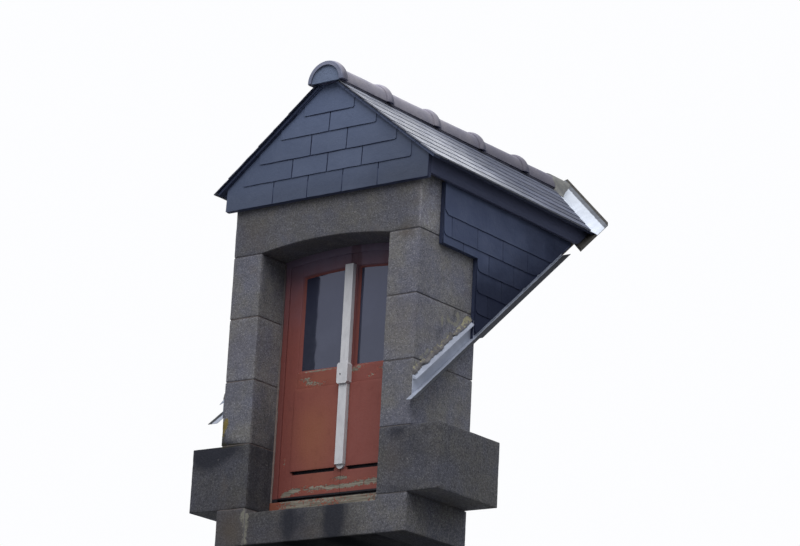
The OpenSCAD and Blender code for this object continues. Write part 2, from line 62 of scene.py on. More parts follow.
# Opening and masonry
HALF_W = 0.400
OPENING_H = 1.312
ARCH_RISE = 0.034
JAMB_W = 0.184
BOND_W = 0.364
COURSE_H = 0.328
WALL_T = 0.500
SILL_H = 0.188
SILL_FALL = 0.025
LINTEL_TOP = 1.602
REVEAL_D = 0.200
REBATE_D = 0.060
REBATE_X = 0.445
HEAD_TOP = 1.391
OUTER_W = HALF_W + JAMB_W
ARCH_R = (HALF_W ** 2 + ARCH_RISE ** 2) / (2 * ARCH_RISE)
ARCH_Z = OPENING_H + ARCH_RISE - ARCH_R
REBATE_ROWS = ((), (REVEAL_D - 0.001, REVEAL_D + 0.001), ())

# Joinery
FRAME_SHOW = 0.035
FRAME_T = 0.052
FRAME_LIP = 0.010
THRESHOLD_TOP = 0.060
NOSE_Y = 0.184
LEAF_Y = 0.208
LEAF_T = 0.042
LEAF_BACK = LEAF_Y + LEAF_T
LEAF_LOW = 0.077
LEAF_OUT = 0.375
LIGHT_OUT = 0.288
MEETING_X = 0.019
MEETING_W = 0.041
TOP_INSET = 0.100
LEAF_INSET = 0.025
GLASS_LOW = 0.724
GLASS_FRONT = 0.227
PANEL_HIGH = 0.636
PANEL_LOW = 0.212
PANEL_SIDE = 0.008
PANEL_OUT = 0.008
RAIL_TOP = 0.197

# Heights between which straight members are drawn before they are bent to the arch
STILE_TOP = 1.32
TOP_RAIL = (1.20, 0.12)
POST_TOP = 1.33
HEAD_RAIL = (1.30, 0.091)

# Roofs
PITCH = math.radians(38)
SEAT_PITCH = math.radians(40)
TAN_D, COS_D, SIN_D = math.tan(PITCH), math.cos(PITCH), math.sin(PITCH)
TAN_S, COS_S = math.tan(SEAT_PITCH), math.cos(SEAT_PITCH)
SEAT_Z = 0.484
EAVE_HALF = 0.704
APEX_Z = 1.655 + EAVE_HALF * TAN_D
VERGE_OUT = 0.057
DRIP = 0.014
ROOF_SLATE = 0.010
ROOF_BOARD = 0.014
COVER = ROOF_SLATE + ROOF_BOARD
WALL_SLATE = 0.012
BOARD = 0.018
VALLEY_BARE = 0.052
VALLEY_SHOW = 0.055
BEYOND = 9.0

# Gable and cheeks
GABLE_HALF = 0.636
GABLE_LOW = 1.556
CHEEK_FRONT = 0.164
CHEEK_STEP_Y = 0.460
CHEEK_STEP_Z = 1.272
CHEEK_TOP = 1.588
CHEEK_X = OUTER_W + BOARD

# Ridge
AXIS_Z = APEX_Z - 0.095 * TAN_D + 0.013
RIDGE_OUT = 0.078
SMALL_R, BIG_R, COLLAR_R = 0.095, 0.102, 0.116
COLLAR_BORE = SMALL_R + 0.004
ROLL_RISE = 0.008
TILE_T = 0.012
COLLAR_W = 0.056
FIRST_TILE, TILE_STEP = 0.420, 0.418
TILE_COUNT = 5
TILE_LAP = 0.012
FRONT_BORE = SMALL_R - 0.007
PLUG_T = 0.013
CLAY_DENT = 0.0011

# Mortar beside the jambs' feet and over the end of the ridge
FILLET_FOOT, FILLET_H, FILLET_T = 0.065, 0.044, 0.020
CONE_R, CONE_OUT, CONE_LAP, CONE_T = BIG_R + 0.003, 0.032, 0.055, 0.016


def roof_z(x, depth=0.0):
    """Height of a layer at a depth under the slates: z = apex - depth / cos(pitch) - |x| tan(pitch)."""
    return APEX_Z - depth / COS_D - np.abs(x) * TAN_D


def seat_z(y, depth=0.0):
    """Height of the seat, or of a layer at a depth under it, at a distance y behind the stone's face."""
    return SEAT_Z - depth / COS_S + y * TAN_S


def seat_y(z, depth=0.0):
    """Distance y at which a layer of the seat reaches a height: the inverse of seat_z."""
    return (z - SEAT_Z + depth / COS_S) / TAN_S


def valley_y(x, depth=ROOF_SLATE):
    """Distance y at which a layer of the dormer's roof meets the seat's layer one slate down."""
    return (roof_z(x, depth) - SEAT_Z + ROOF_SLATE / COS_S) / TAN_S


def arch(x, inset=0.0):
    """Height of the circle that lies concentric with the lintel's soffit and an inset inside it."""
    return ARCH_Z + np.sqrt((ARCH_R - inset) ** 2 - np.minimum(np.abs(x), 0.45) ** 2)


# Noise and surfaces

_lattices = {}


def ramp(value, start, width):
    """0 before the start, 1 one width further on, straight between; a negative width runs the other way."""
    return np.clip((value - start) / width, 0, 1)


def bell(value, middle, width):
    """exp(-d^2) of the distance from the middle in widths."""
    return np.exp(-((value - middle) / width) ** 2)


def noise(points, size, seed):
    """Value noise from -1 to 1: random numbers on a lattice of cubes, blended along each axis by 3t^2 - 2t^3."""
    if seed not in _lattices:
        _lattices[seed] = np.random.default_rng(seed).random((32, 32, 32)) * 2 - 1
    q = np.asarray(points, float) / size
    cell = np.floor(q).astype(int)
    t = q - cell
    t = t * t * (3 - 2 * t)
    total = 0.0
    for corner in np.ndindex(2, 2, 2):
        weight = 1.0
        for axis, step in enumerate(corner):
            weight = weight * (t[..., axis] if step else 1 - t[..., axis])
        total = total + weight * _lattices[seed][tuple(np.moveaxis((cell + corner) & 31, -1, 0))]
    return total


def rough(points, size, seed, octaves=3):
    """Sum of noise at halving sizes and halving strengths, scaled back to about -1 to 1."""
    total, weight = 0.0, 0.0
    for k in range(octaves):
        total = total + noise(points, size / 2 ** k, seed + k) / 2 ** k
        weight += 1 / 2 ** k
    return total / weight


def spots(x, z, places):
    """Sum of soft ellipses (x, z, half width, half height, strength), each exp(-d^2) of its own scaled distance."""
    return sum(power * bell(x, px, rx) * bell(z, pz, rz) for px, pz, rx, rz, power in places)


def weld(points, quads):
    """Merges points that agree to a hundredth of a millimetre, and renumbers the faces."""
    keys = np.round(points * 1e5).astype(np.int64)
    _, first, back = np.unique(keys, axis=0, return_index=True, return_inverse=True)
    return points[first], back.reshape(-1)[quads]


def grid_quads(n, m):
    """Quads of an n by m grid of points numbered row by row."""
    i, j = np.meshgrid(np.arange(n - 1), np.arange(m - 1), indexing="ij")
    a = (i * m + j).ravel()
    return np.stack([a, a + 1, a + m + 1, a + m], 1)


def ticks(low, high, radius, step, extra=()):
    """Places along one side of a block: an arris of 45 degrees in two steps at each end, and even steps between.

    Extra places are all kept, and even ones that come too near them are left out.
    """
    arris = radius * np.array([1.0, 1 - math.tan(math.pi / 8)])
    inner_low, inner_high = low + radius, high - radius
    count = max(1, int(round((inner_high - inner_low) / step)))
    middle = np.linspace(inner_low, inner_high, count + 1)
    if len(extra):
        middle = np.unique(np.concatenate([middle, extra]))
        away = np.abs(middle[:, None] - np.array(extra)).min(1)
        keep = (away > step * 0.25) | (away < 1e-9)
        keep[[0, -1]] = True
        middle = middle[keep]
    return np.concatenate([inner_low - arris, middle, (inner_high + arris)[::-1]])


def block(low, high, radius, step, extra=((), (), ())):
    """Closed grid over a rounded block, with its outward directions.

    A point p of the plain block is drawn to the nearest point c of a core smaller by the radius all round,
    and set at c + r (p - c) / |p - c|.
    """
    low, high = np.array(low, float), np.array(high, float)
    step = np.broadcast_to(step, 3)
    lines = [ticks(low[k], high[k], radius, step[k], extra[k]) for k in range(3)]
    points, quads, count = [], [], 0
    for k in range(3):
        u, v = (k + 1) % 3, (k + 2) % 3
        for end in (0, 1):
            a, b = np.meshgrid(lines[u], lines[v], indexing="ij")
            p = np.empty(a.shape + (3,))
            p[..., u], p[..., v], p[..., k] = a, b, (low[k], high[k])[end]
            q = grid_quads(*a.shape)
            points.append(p.reshape(-1, 3))
            quads.append((q[:, ::-1] if end else q) + count)
            count += a.size
    points, quads = weld(np.concatenate(points), np.concatenate(quads))
    core = np.clip(points, low + radius, high - radius)
    out = points - core
    out /= np.linalg.norm(out, axis=1, keepdims=True)
    return core + out * radius, quads, out


def slabs(front, back):
    """Closed slabs between pairs of grids, given as arrays of (slab, row, column, xyz): faces, backs and four edges."""
    count, n, m = front.shape[:3]
    points = np.concatenate([front.reshape(count, -1, 3), back.reshape(count, -1, 3)], 1)
    q = grid_quads(n, m)
    loop = np.concatenate([np.arange(m), np.arange(1, n) * m + m - 1,
                           (n - 1) * m + np.arange(m - 2, -1, -1), np.arange(n - 2, -1, -1) * m])
    a, b = loop[:-1], loop[1:]
    one = np.concatenate([q, q[:, ::-1] + n * m, np.stack([b, a, a + n * m, b + n * m], 1)])
    quads = (one[None] + (np.arange(count) * 2 * n * m)[:, None, None]).reshape(-1, 4)
    return points.reshape(-1, 3), quads


def slab(front, back, **marks):
    """A part that fills the room between two grids, each given as its x, y and z."""
    return slabs(*(np.stack(np.broadcast_arrays(*grid), -1)[None] for grid in (front, back))) + (marks,)


def marked(part, **marks):
    """The part with more marks."""
    part[2].update(marks)
    return part


def volume(points, quads):
    """Signed volume inside closed faces: a sixth of the sum of the triple products of their triangles."""
    a, b, c, d = (points[quads[:, k]] for k in range(4))
    return sum(np.einsum("ij,ij->i", a, np.cross(p, q)).sum() for p, q in ((b, c), (c, d))) / 6


def joined(parts):
    """Joins parts into one, with missing marks filled by zero."""
    names = sorted({n for p in parts for n in p[2]})
    starts = np.cumsum([0] + [len(p) for p, _, _ in parts])
    marks = {n: np.concatenate([np.broadcast_to(m.get(n, 0.0), len(p)) for p, _, m in parts]) for n in names}
    points = np.concatenate([p for p, _, _ in parts])
    return points, np.concatenate([q + k for (_, q, _), k in zip(parts, starts)]), marks


def make(name, parts, finish, replaces=(), angle=40):
    """Makes one piece from closed surfaces in the drawing frame, turned outwards, riding on the dormer."""
    points, quads, marks = joined([(p, q if volume(p, q) > 0 else q[:, ::-1], m) for p, q, m in parts])
    mesh = bpy.data.meshes.new(name)
    mesh.from_pydata((points + PLACE).tolist(), [], quads.tolist())
    for key, values in marks.items():
        data = mesh.attributes.new(key, "FLOAT", "POINT").data
        data.foreach_set("value", np.ascontiguousarray(values, np.float32))
    mesh.materials.append(finish)
    mesh.polygons.foreach_set("use_smooth", np.ones(len(mesh.polygons), bool))
    mesh.set_sharp_from_angle(angle=math.radians(angle))
    mesh.update()
    piece = bpy.data.objects.new(name, mesh)
    bpy.context.scene.collection.objects.link(piece)
    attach(piece, "root")
    if replaces:
        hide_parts(*replaces)
    return piece


def coat(finish, *nodes):
    """Gives a finish to frame nodes that are kept as they are."""
    for name in nodes:
        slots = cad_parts[name].data.materials
        if not len(slots):
            slots.append(finish)
        for k in range(len(slots)):
            slots[k] = finish


# Finishes

def tint(colour, factor):
    """A colour multiplied by a factor, or by one for each channel."""
    return tuple(np.clip(np.array(colour) * factor, 0, 1))


def add_node(tree, kind, output, sockets=(), **settings):
    """Adds a node, sets or links its sockets, and returns one of its outputs."""
    node = tree.nodes.new("ShaderNode" + kind)
    for key, value in settings.items():
        setattr(node, key, value)
    for key, value in dict(sockets).items():
        feed(tree, node.inputs[key], value)
    return node.outputs[output]


def feed(tree, socket, value):
    """Links a socket to another one, or sets it to a value."""
    if isinstance(value, bpy.types.NodeSocket):
        tree.links.new(value, socket)
    elif socket.type == "RGBA" and len(value) == 3:
        socket.default_value = tuple(value) + (1.0,)
    else:
        socket.default_value = value


class Finish:
    """One procedural material: a base that grows layer by layer. Its helpers return the socket with their result."""

    def __init__(self, name, colour, roughness=0.6, **sockets):
        self.material = bpy.data.materials.new(name)
        self.material.use_nodes = True
        self.tree = self.material.node_tree
        self.shader = self.tree.nodes["Principled BSDF"]
        self.place = self.node("TexCoord", "Object")
        self.colour = self.base = colour
        self.set("Roughness", roughness)
        for key, value in sockets.items():
            self.set({"specular": "Specular IOR Level", "ior": "IOR", "specular_tint": "Specular Tint"}[key], value)

    def set(self, name, value):
        feed(self.tree, self.shader.inputs[name], value)

    def node(self, kind, output, sockets=(), **settings):
        return add_node(self.tree, kind, output, sockets, **settings)

    def tint(self, *factor):
        """The finish's own colour times a factor."""
        return tint(self.colour, factor)

    def mapped(self, scale, turn=(0, 0, 0)):
        return self.node("Mapping", "Vector", {"Vector": self.place, "Scale": scale, "Rotation": turn})

    def noise(self, scale, detail=3.0, roughness=0.55, at=None, distortion=0.0):
        """Noise about a half, at a socket or at the place stretched by a scale."""
        at = self.mapped(at) if isinstance(at, tuple) else at or self.place
        return self.node("TexNoise", "Fac", {"Vector": at, "Scale": scale, "Detail": detail, "Roughness": roughness,
                                             "Distortion": distortion})

    def cells(self, scale, output="Distance"):
        return self.node("TexVoronoi", output, {"Vector": self.place, "Scale": scale})

    def span(self, value, low, high, start=0.0, end=1.0):
        """A smooth step from start to end as the value goes from low to high."""
        return self.node("MapRange", "Result", {"Value": value, "From Min": low, "From Max": high, "To Min": start,
                                                "To Max": end}, interpolation_type="SMOOTHSTEP")

    def math(self, operation, a, b=0.0, clamp=False):
        return self.node("Math", 0, {0: a, 1: b}, operation=operation, use_clamp=clamp)

    def add(self, a, b, clamp=False):
        return self.math("ADD", a, b, clamp)

    def mul(self, a, b):
        return self.math("MULTIPLY", a, b)

    def mix(self, factor, a, b, blend="MIX"):
        """Mixes two colours; the colour sockets of the node are its seventh and eighth, and its third result."""
        return self.node("Mix", 2, {0: factor, 6: a, 7: b}, data_type="RGBA", blend_type=blend, clamp_result=True)

    def mark(self, name):
        return self.node("Attribute", "Fac", attribute_name=name)

    def axis(self, name):
        return self.node("SeparateXYZ", name, {0: self.place})

    def channel(self, colour, k):
        return self.node("SeparateColor", k, {0: colour})

    def drift(self, amount, *noise):
        """Noise about zero, times an amount."""
        return self.mul(self.math("SUBTRACT", self.noise(*noise), 0.5), amount)

    def frayed(self, name, amount, *noise):
        """A mark with drift added, so that its border frays."""
        return self.add(self.mark(name), self.drift(amount, *noise))

    def between(self, value, low, high, a, b):
        """Colour a where the value is low, b where it is high."""
        return self.mix(self.span(value, low, high), a, b)

    def over(self, share, colour):
        """Lays a share of a colour over the base."""
        self.base = self.mix(share, self.base, colour)

    def layer(self, value, low, high, strength, colour):
        """Lays a colour over the base, from nothing where the value is low to a strength where it is high."""
        self.over(self.span(value, low, high, 0.0, strength), colour)

    def times(self, factor):
        self.base = self.mix(1.0, self.base, factor, "MULTIPLY")

    def bumps(self, *layers):
        """Bumps one on another, each a height and the distance that it stands for."""
        normal = None
        for height, distance in layers:
            sockets = {"Distance": distance, "Height": height}
            normal = self.node("Bump", "Normal", sockets if normal is None else {**sockets, "Normal": normal})
        self.set("Normal", normal)

    def done(self, roughness):
        self.set("Base Color", self.base)
        self.set("Roughness", roughness)
        return self.material


def granite_finish(colour):
    """Dressed granite: bluish and olive drifts, fine crystals, lichen dots, and moss, mortar, stains and painted shade
    where marked.
    """
    f = Finish("granite", colour, specular=0.25)
    f.base = f.between(f.noise(4.5, 6.0, 0.62), 0.36, 0.64, f.tint(0.90, 0.93, 1.08), f.tint(1.10, 1.07, 0.92))
    f.layer(f.noise(13.0, 6.0, 0.66), 0.38, 0.7, 0.55, f.tint(0.70, 0.70, 0.74))
    mottle, coarse = f.noise(85.0, 5.0, 0.7), f.mark("coarse")
    f.over(f.mul(f.span(mottle, 0.34, 0.60, 1.0, 0.0), f.add(0.40, coarse)), f.tint(0.50, 0.50, 0.53))
    f.over(f.mul(f.span(mottle, 0.54, 0.72), f.add(0.36, coarse)), f.tint(1.65, 1.62, 1.50))
    crystals = f.cells(240.0, "Color")
    f.layer(f.channel(crystals, 0), 0.84, 0.90, 0.40, f.tint(2.1))
    f.layer(f.channel(crystals, 1), 0.84, 0.90, 0.55, f.tint(0.25))
    # tone: each stone's own tone, with painted shade on the bond stones and the lintel and painted light on the
    # lintel's end faces.
    f.times(f.mark("tone"))
    f.layer(f.noise(8.0, 3.0), 0.56, 0.76, 0.25, f.tint(0.95, 0.80, 0.62))
    f.over(f.mul(f.mark("brown"), 0.7), f.tint(0.60, 0.48, 0.34))
    # Near-black where marked: real stains, and painted shade in the opening, under the gable and where the left-out
    # gutter shades the bond stones.
    f.layer(f.frayed("stain", 0.7, 18.0, 5.0, 0.62, (1.0, 1.0, 0.35)), 0.15, 1.0, 0.92, (0.014, 0.015, 0.023))
    f.layer(f.frayed("moss", 0.9, 70.0, 4.0, 0.6), 0.45, 0.85, 0.85, (0.026, 0.025, 0.012))
    f.layer(f.frayed("lichen", 1.1, 80.0, 4.0, 0.6), 0.50, 0.80, 0.8, (0.20, 0.145, 0.02))
    dots = f.span(f.add(f.cells(15.0), f.mul(f.noise(120.0, 3.0), 0.05)), 0.085, 0.10, 0.5, 0.0)
    f.over(f.mul(dots, f.span(f.noise(3.0, 2.0), 0.45, 0.6)), f.tint(2.0, 1.95, 1.7))
    f.layer(f.frayed("smear", 1.3, 45.0, 5.0, 0.65), 0.5, 0.85, 0.8, (0.21, 0.20, 0.165))
    f.bumps((mottle, 0.0030), (f.noise(260.0, 3.0, 0.6), 0.0012), (f.noise(26.0, 3.0), 0.0030))
    return f.done(f.span(mottle, 0.3, 0.7, 0.95, 0.78))


def slate_finish(name, colour, roughness, level, fade=None):
    """Split slate: each slate its own tone, cleavage ripples, darker along its edges, painted shadow under the slate
    above, and near-black painted shade on the backs and the sheets beneath.

    fade gives a span of the mark "far" over which the covering dulls, the factor for its colour,
    what its roughness gains, and how far patches wander from that span.
    """
    f = Finish(name, colour, specular=level)
    f.base = f.between(f.mark("tone"), -1.0, 1.0, f.tint(0.88, 0.89, 0.91), f.tint(1.10, 1.09, 1.08))
    cloud = f.noise(8.0, 5.0, 0.6)
    f.layer(cloud, 0.35, 0.72, 0.4, f.tint(0.80, 0.81, 0.84))
    f.layer(f.noise(34.0, 4.0, 0.6, (1.0, 1.0, 0.22)), 0.56, 0.78, 0.25, f.tint(1.30, 1.28, 1.22))
    # lighter: painted light high on the gable, painted shade on the roof's cloaks and next to the ridge, and each roof
    # slate's own tone.
    f.times(f.add(1.0, f.mark("lighter")))
    polish = f.span(cloud, 0.3, 0.7, roughness - 0.05, roughness + 0.07)
    edge = f.span(f.frayed("rim", 0.4, 120.0, 3.0), 0.35, 1.0, 0.0, 0.6)
    if fade is not None:
        low, high, factor, gain, wander = fade
        patch = f.drift(wander, 15.0, 5.0, 0.65, (1.0, 0.35, 1.0))
        share = f.span(f.add(f.frayed("far", 0.4, 3.0, 4.0), patch), low, high)
        f.over(share, f.mix(1.0, f.base, factor, "MULTIPLY"))
        f.over(f.mul(share, f.span(patch, 0.08, 0.28, 0.0, 0.8)), f.tint(0.10, 0.11, 0.16))
        polish = f.add(polish, f.mul(share, gain), clamp=True)
        edge = f.mul(edge, f.span(share, 0.0, 1.0, 1.0, 0.4))
    f.over(edge, f.tint(0.32, 0.36, 0.55))
    # Painted shadow under the tail of the slate above.
    f.layer(f.mark("under"), 0.2, 1.0, 0.9, f.tint(0.18, 0.21, 0.36))
    # Near-black painted shade on the slates' backs and the sheets under them.
    f.over(f.mark("back"), (0.016, 0.021, 0.048))
    f.bumps((f.noise(26.0, 6.0, 0.62, distortion=0.4), 0.003), (f.noise(150.0, 4.0, 0.6), 0.0008))
    return f.done(polish)


def paint_finish(colour, faded):
    """Old red paint: orange where faded, brushed along the grain, grey wood where worn, and painted shade: bluish under
    the lintel, maroon by the hanging stile and the cover strip, near-black in gaps and recesses.
    """
    f = Finish("red paint", colour, specular=0.25)
    f.base = f.between(f.frayed("fade", 0.5, 5.0, 4.0), 0.0, 1.0, colour, faded)
    brush = f.noise(120.0, 3.0, 0.6, (1.0, 1.0, 0.05))
    f.layer(brush, 0.3, 0.7, 0.2, f.tint(1.25, 1.2, 1.1))
    # Painted shade: bluish under the lintel, maroon where marked deep.
    f.layer(f.frayed("shade", 0.3, 9.0, 4.0), 0.05, 1.0, 0.9, f.tint(0.66, 1.95, 3.6))
    f.over(f.mark("deep"), f.tint(0.26, 0.26, 0.42))
    dirt = f.noise(14.0, 5.0, 0.65)
    f.layer(dirt, 0.52, 0.78, 0.25, f.tint(0.35, 0.38, 0.42))
    grain = f.noise(160.0, 4.0, 0.6, (0.06, 1.0, 1.0))
    wood = f.between(grain, 0.3, 0.7, (0.120, 0.105, 0.082), (0.290, 0.262, 0.215))
    flecks = f.frayed("wear", 1.0, 260.0, 3.0, 0.6, (0.5, 1.0, 1.0))
    wear = f.add(flecks, f.drift(2.3, 78.0, 6.0, 0.74, (0.6, 1.0, 1.0)))
    gone = f.span(wear, 0.60, 0.68)
    f.over(f.mul(f.math("SUBTRACT", f.span(wear, 0.46, 0.56), gone), 0.6), tint(faded, (1.75, 0.95, 1.0)))
    f.over(gone, wood)
    # Near-black painted shade in gaps, recesses and undersides.
    f.over(f.mark("hidden"), (0.006, 0.005, 0.009))
    f.bumps((f.math("SUBTRACT", 1.0, gone), 0.0015), (brush, 0.0005), (f.noise(60.0, 4.0), 0.0012))
    return f.done(f.span(dirt, 0.3, 0.7, 0.5, 0.68))


def white_finish(colour):
    """Dulled white paint with fine dirt streaks, and painted shade that greys it towards the top, under the lintel."""
    f = Finish("white paint", colour)
    f.layer(f.noise(30.0, 5.0, 0.65, (1.0, 1.0, 0.35)), 0.4, 0.75, 0.5, f.tint(0.62, 0.62, 0.64))
    fine = f.noise(140.0, 4.0, 0.6)
    f.layer(fine, 0.6, 0.8, 0.3, f.tint(0.5, 0.48, 0.46))
    # Painted shade under the lintel.
    f.layer(f.axis("Z"), PLACE[2] + 0.85, PLACE[2] + 1.25, 0.15, f.tint(0.5, 0.5, 0.55))
    f.bumps((fine, 0.0008), (f.noise(20.0, 3.0), 0.0015))
    return f.done(f.span(fine, 0.3, 0.7, 0.42, 0.6))


def glass_finish(colour):
    """Old window glass: a dark body, painted shade of the dark room behind, that mirrors the sky a little unevenly,
    with a film of dust and a bluish painted reflection higher up.

    A pane has two faces, so it mirrors about twice what one face does; the ramp along x leans the old panes
    a degree or two in their rebates.
    """
    f = Finish("window glass", colour, ior=1.86, specular_tint=(0.565, 0.605, 0.83, 1.0))
    f.base = f.mix(f.span(f.noise(7.0, 5.0, 0.6), 0.35, 0.8, 0.1, 0.7), colour, f.tint(1.9, 1.85, 1.8))
    # Painted reflection: higher up the panes are bluer and lighter, as the sky mirrored there.
    f.layer(f.axis("Z"), PLACE[2] + 0.75, PLACE[2] + 1.25, 0.6, f.tint(1.25, 1.2, 1.6))
    f.bumps((f.noise(4.5, 2.0), 0.0025), (f.axis("X"), 0.03))
    return f.done(f.span(f.noise(35.0, 4.0), 0.3, 0.7, 0.03, 0.09))


def clay_finish(colour):
    """Unglazed ridge tiles: taupe with cloudy tone, darker towards the back, painted shade low on the sides and round
    the collars, painted light along the crest, and a sandy face.
    """
    f = Finish("ridge clay", colour, specular=0.3)
    cloud = f.noise(10.0, 5.0, 0.6)
    f.base = f.between(cloud, 0.3, 0.7, f.tint(0.86, 0.86, 0.90), f.tint(1.10, 1.08, 1.04))
    f.over(f.span(f.axis("Y"), 0.2, 1.25), f.mix(1.0, f.base, (0.56, 0.56, 0.60), "MULTIPLY"))
    # Painted shade low on the tiles' sides, behind the collars and under them.
    f.layer(f.frayed("grime", 0.8, 24.0, 5.0, 0.6), 0.3, 1.0, 0.8, f.tint(0.30, 0.32, 0.42))
    speck = f.noise(90.0, 5.0, 0.7)
    f.layer(speck, 0.62, 0.74, 0.3, f.tint(1.4))
    # Painted light along the crests and a little shade down the sides; bluish painted shade on the front end; navy
    # painted shade on the inner faces.
    f.times(f.add(1.0, f.mark("lighter")))
    f.over(f.mul(f.mark("cool"), 0.75), (0.135, 0.155, 0.235))
    f.over(f.mark("hidden"), (0.030, 0.034, 0.085))
    f.bumps((f.noise(170.0, 4.0, 0.7), 0.0014), (cloud, 0.004))
    return f.done(f.span(speck, 0.3, 0.7, 0.85, 0.66))


def mortar_finish(colour):
    """Rough lime mortar: grit, cloudy stains, cream patches along upper edges, and where marked grime and painted
    shade, bluish painted shade, and near-black painted shade in gaps.
    """
    f = Finish("lime mortar", colour, specular=0.2)
    grit, cloud = f.noise(190.0, 4.0, 0.7), f.noise(14.0, 5.0, 0.65)
    f.base = f.between(cloud, 0.3, 0.7, f.tint(0.72, 0.72, 0.76), f.tint(1.12))
    f.over(f.span(grit, 0.35, 0.65, 0.4, 0.0), f.tint(0.55))
    f.layer(f.frayed("cream", 2.6, 60.0, 6.0, 0.75), 0.55, 0.85, 0.85, (0.27, 0.25, 0.16))
    f.over(f.mark("pale"), f.between(cloud, 0.3, 0.7, (0.135, 0.136, 0.140), (0.215, 0.212, 0.195)))
    f.over(f.mul(f.mark("rosy"), f.span(cloud, 0.25, 0.6, 0.4, 1.0)), (0.20, 0.150, 0.135))
    # Greyer where marked for grime and painted shade; bluish painted shade on the plug; near-black painted shade in the
    # gaps under the ridge tiles.
    f.over(f.mul(f.mark("grime"), 0.85), f.tint(0.3, 0.32, 0.40))
    f.over(f.mul(f.mark("cool"), 0.9), (0.131, 0.165, 0.255))
    f.over(f.mark("hidden"), (0.032, 0.037, 0.085))
    f.bumps((grit, 0.0022), (f.noise(45.0, 4.0), 0.004))
    return f.done(f.span(grit, 0.3, 0.7, 0.95, 0.8))


def zinc_finish(name, colour, metallic, roughness, covered=None):
    """Weathered zinc: a dull bloom in clouds, streaks and shallow dents, and dirt where it is covered in use.

    covered gives the distance from the middle beyond which a flashing is covered. A valley sheet is covered
    where the seat stands more than VALLEY_SHOW above the dormer's roof.
    """
    f = Finish(name, colour)
    cloud = f.noise(11.0, 5.0, 0.6)
    f.base = f.between(cloud, 0.3, 0.7, f.tint(0.86, 0.87, 0.89), f.tint(1.08))
    f.layer(f.noise(50.0, 4.0, 0.6, (1.0, 0.15, 0.15)), 0.5, 0.75, 0.3, f.tint(0.66, 0.66, 0.68))
    wander, side = f.drift(0.01, 30.0, 4.0), f.math("ABSOLUTE", f.axis("X"))
    if covered is None:
        f.layer(f.axis("Y"), 1.1, 1.75, 0.25, f.tint(0.55, 0.55, 0.57))
        side = f.add(f.mul(f.axis("Y"), TAN_S), f.mul(side, TAN_D))
        covered = APEX_Z - SEAT_Z + PLACE[1] * TAN_S + VALLEY_SHOW
        dirt = f.between(cloud, 0.35, 0.65, (0.085, 0.092, 0.110), (0.150, 0.158, 0.180))
    else:
        dirt = (0.022, 0.024, 0.031)
    lain = f.span(f.add(side, wander), covered, covered + 0.006)
    f.over(lain, dirt)
    f.set("Metallic", f.span(lain, 0.0, 1.0, metallic, 0.0))
    f.bumps((f.noise(9.0, 3.0), 0.006), (f.noise(120.0, 3.0), 0.0004))
    polish = f.span(cloud, 0.3, 0.7, roughness - 0.07, roughness + 0.1)
    return f.done(f.add(polish, f.mul(lain, 0.45), clamp=True))


def timber_finish(name, colour, grain_scale, turn=(0, 0, 0), stain=None, paler=None):
    """Sawn timber: rings drawn out along the grain, and saw marks. Where the mark "outside" is 1 it is dark stained, at
    2 slate blue, and at 3 near-black painted shade.

    paler gives two heights between which the timber grows paler, and by what factor: painted light in the shade under
    the eaves.
    """
    f = Finish(name, colour, specular=0.25)
    along = f.mapped(grain_scale, turn)
    rings, fine = f.noise(46.0, 5.0, 0.6, along, 0.5), f.noise(240.0, 4.0, 0.7, along)
    f.base = f.between(rings, 0.32, 0.68, f.tint(0.62, 0.58, 0.54), f.tint(1.15, 1.14, 1.1))
    f.layer(fine, 0.5, 0.75, 0.45, f.tint(0.45, 0.42, 0.4))
    f.layer(f.noise(4.0, 4.0), 0.45, 0.75, 0.4, (0.20, 0.19, 0.175) if max(colour) > 0.1 else f.tint(1.5))
    f.layer(f.mark("tone"), -1.0, 1.0, 0.35, f.tint(0.6, 0.58, 0.55))
    if stain is not None:
        # The coats: dark stained, slate blue, and near-black painted shade.
        coats = ((stain, tint(stain, 1.8)), ((0.092, 0.112, 0.190), (0.112, 0.134, 0.215)),
                 ((0.018, 0.024, 0.052), (0.027, 0.035, 0.070)))
        for k, (dark, light) in enumerate(coats):
            f.layer(f.mark("outside"), k + 0.4, k + 0.6, 1.0, f.between(fine, 0.3, 0.8, dark, light))
    if paler is not None:
        low, high, factor = paler
        f.layer(f.axis("Z"), low, high, 1.0, f.tint(*factor))
    f.bumps((rings, 0.0012), (fine, 0.0008))
    return f.done(f.span(fine, 0.3, 0.7, 0.72, 0.88))


# Settings

def length(name, description, default, low, high):
    """A length setting between two limits."""
    return FloatProperty(name=name, description=description, default=default, min=low, max=high, unit="LENGTH")


def colour(name, description, default):
    """A colour setting with the usual limits."""
    return FloatVectorProperty(name=name, description=description, default=default, min=0.0, max=1.0, size=3,
                               subtype="COLOR")


class DormerSizes(bpy.types.PropertyGroup):
    """Sizes of what is laid over the frame."""
    slate_width: length("Slate width", "Width of a slate", 0.220, 0.15, 0.30)
    slate_gauge: length("Slate gauge", "Height of a course of slates that shows", 0.117, 0.08, 0.14)
    slate_gap: length("Slate gap", "Gap between neighbouring slates", 0.0035, 0.0, 0.008)
    stone_arris: length("Stone arris", "Radius of the worn edges of the granite", 0.0045, 0.002, 0.02)
    stone_joint: length("Stone joint", "Width of the beds between the stones", 0.002, 0.001, 0.01)
    stone_step: length("Stone grid", "Spacing of the points on the stones' faces", 0.012, 0.006, 0.05)
    plank_width: length("Board width", "Width of the sheathing boards", 0.146, 0.08, 0.25)
    seed: IntProperty(name="Seed", description="Start of the random tones and irregularities", default=7, min=0,
                      max=1000)


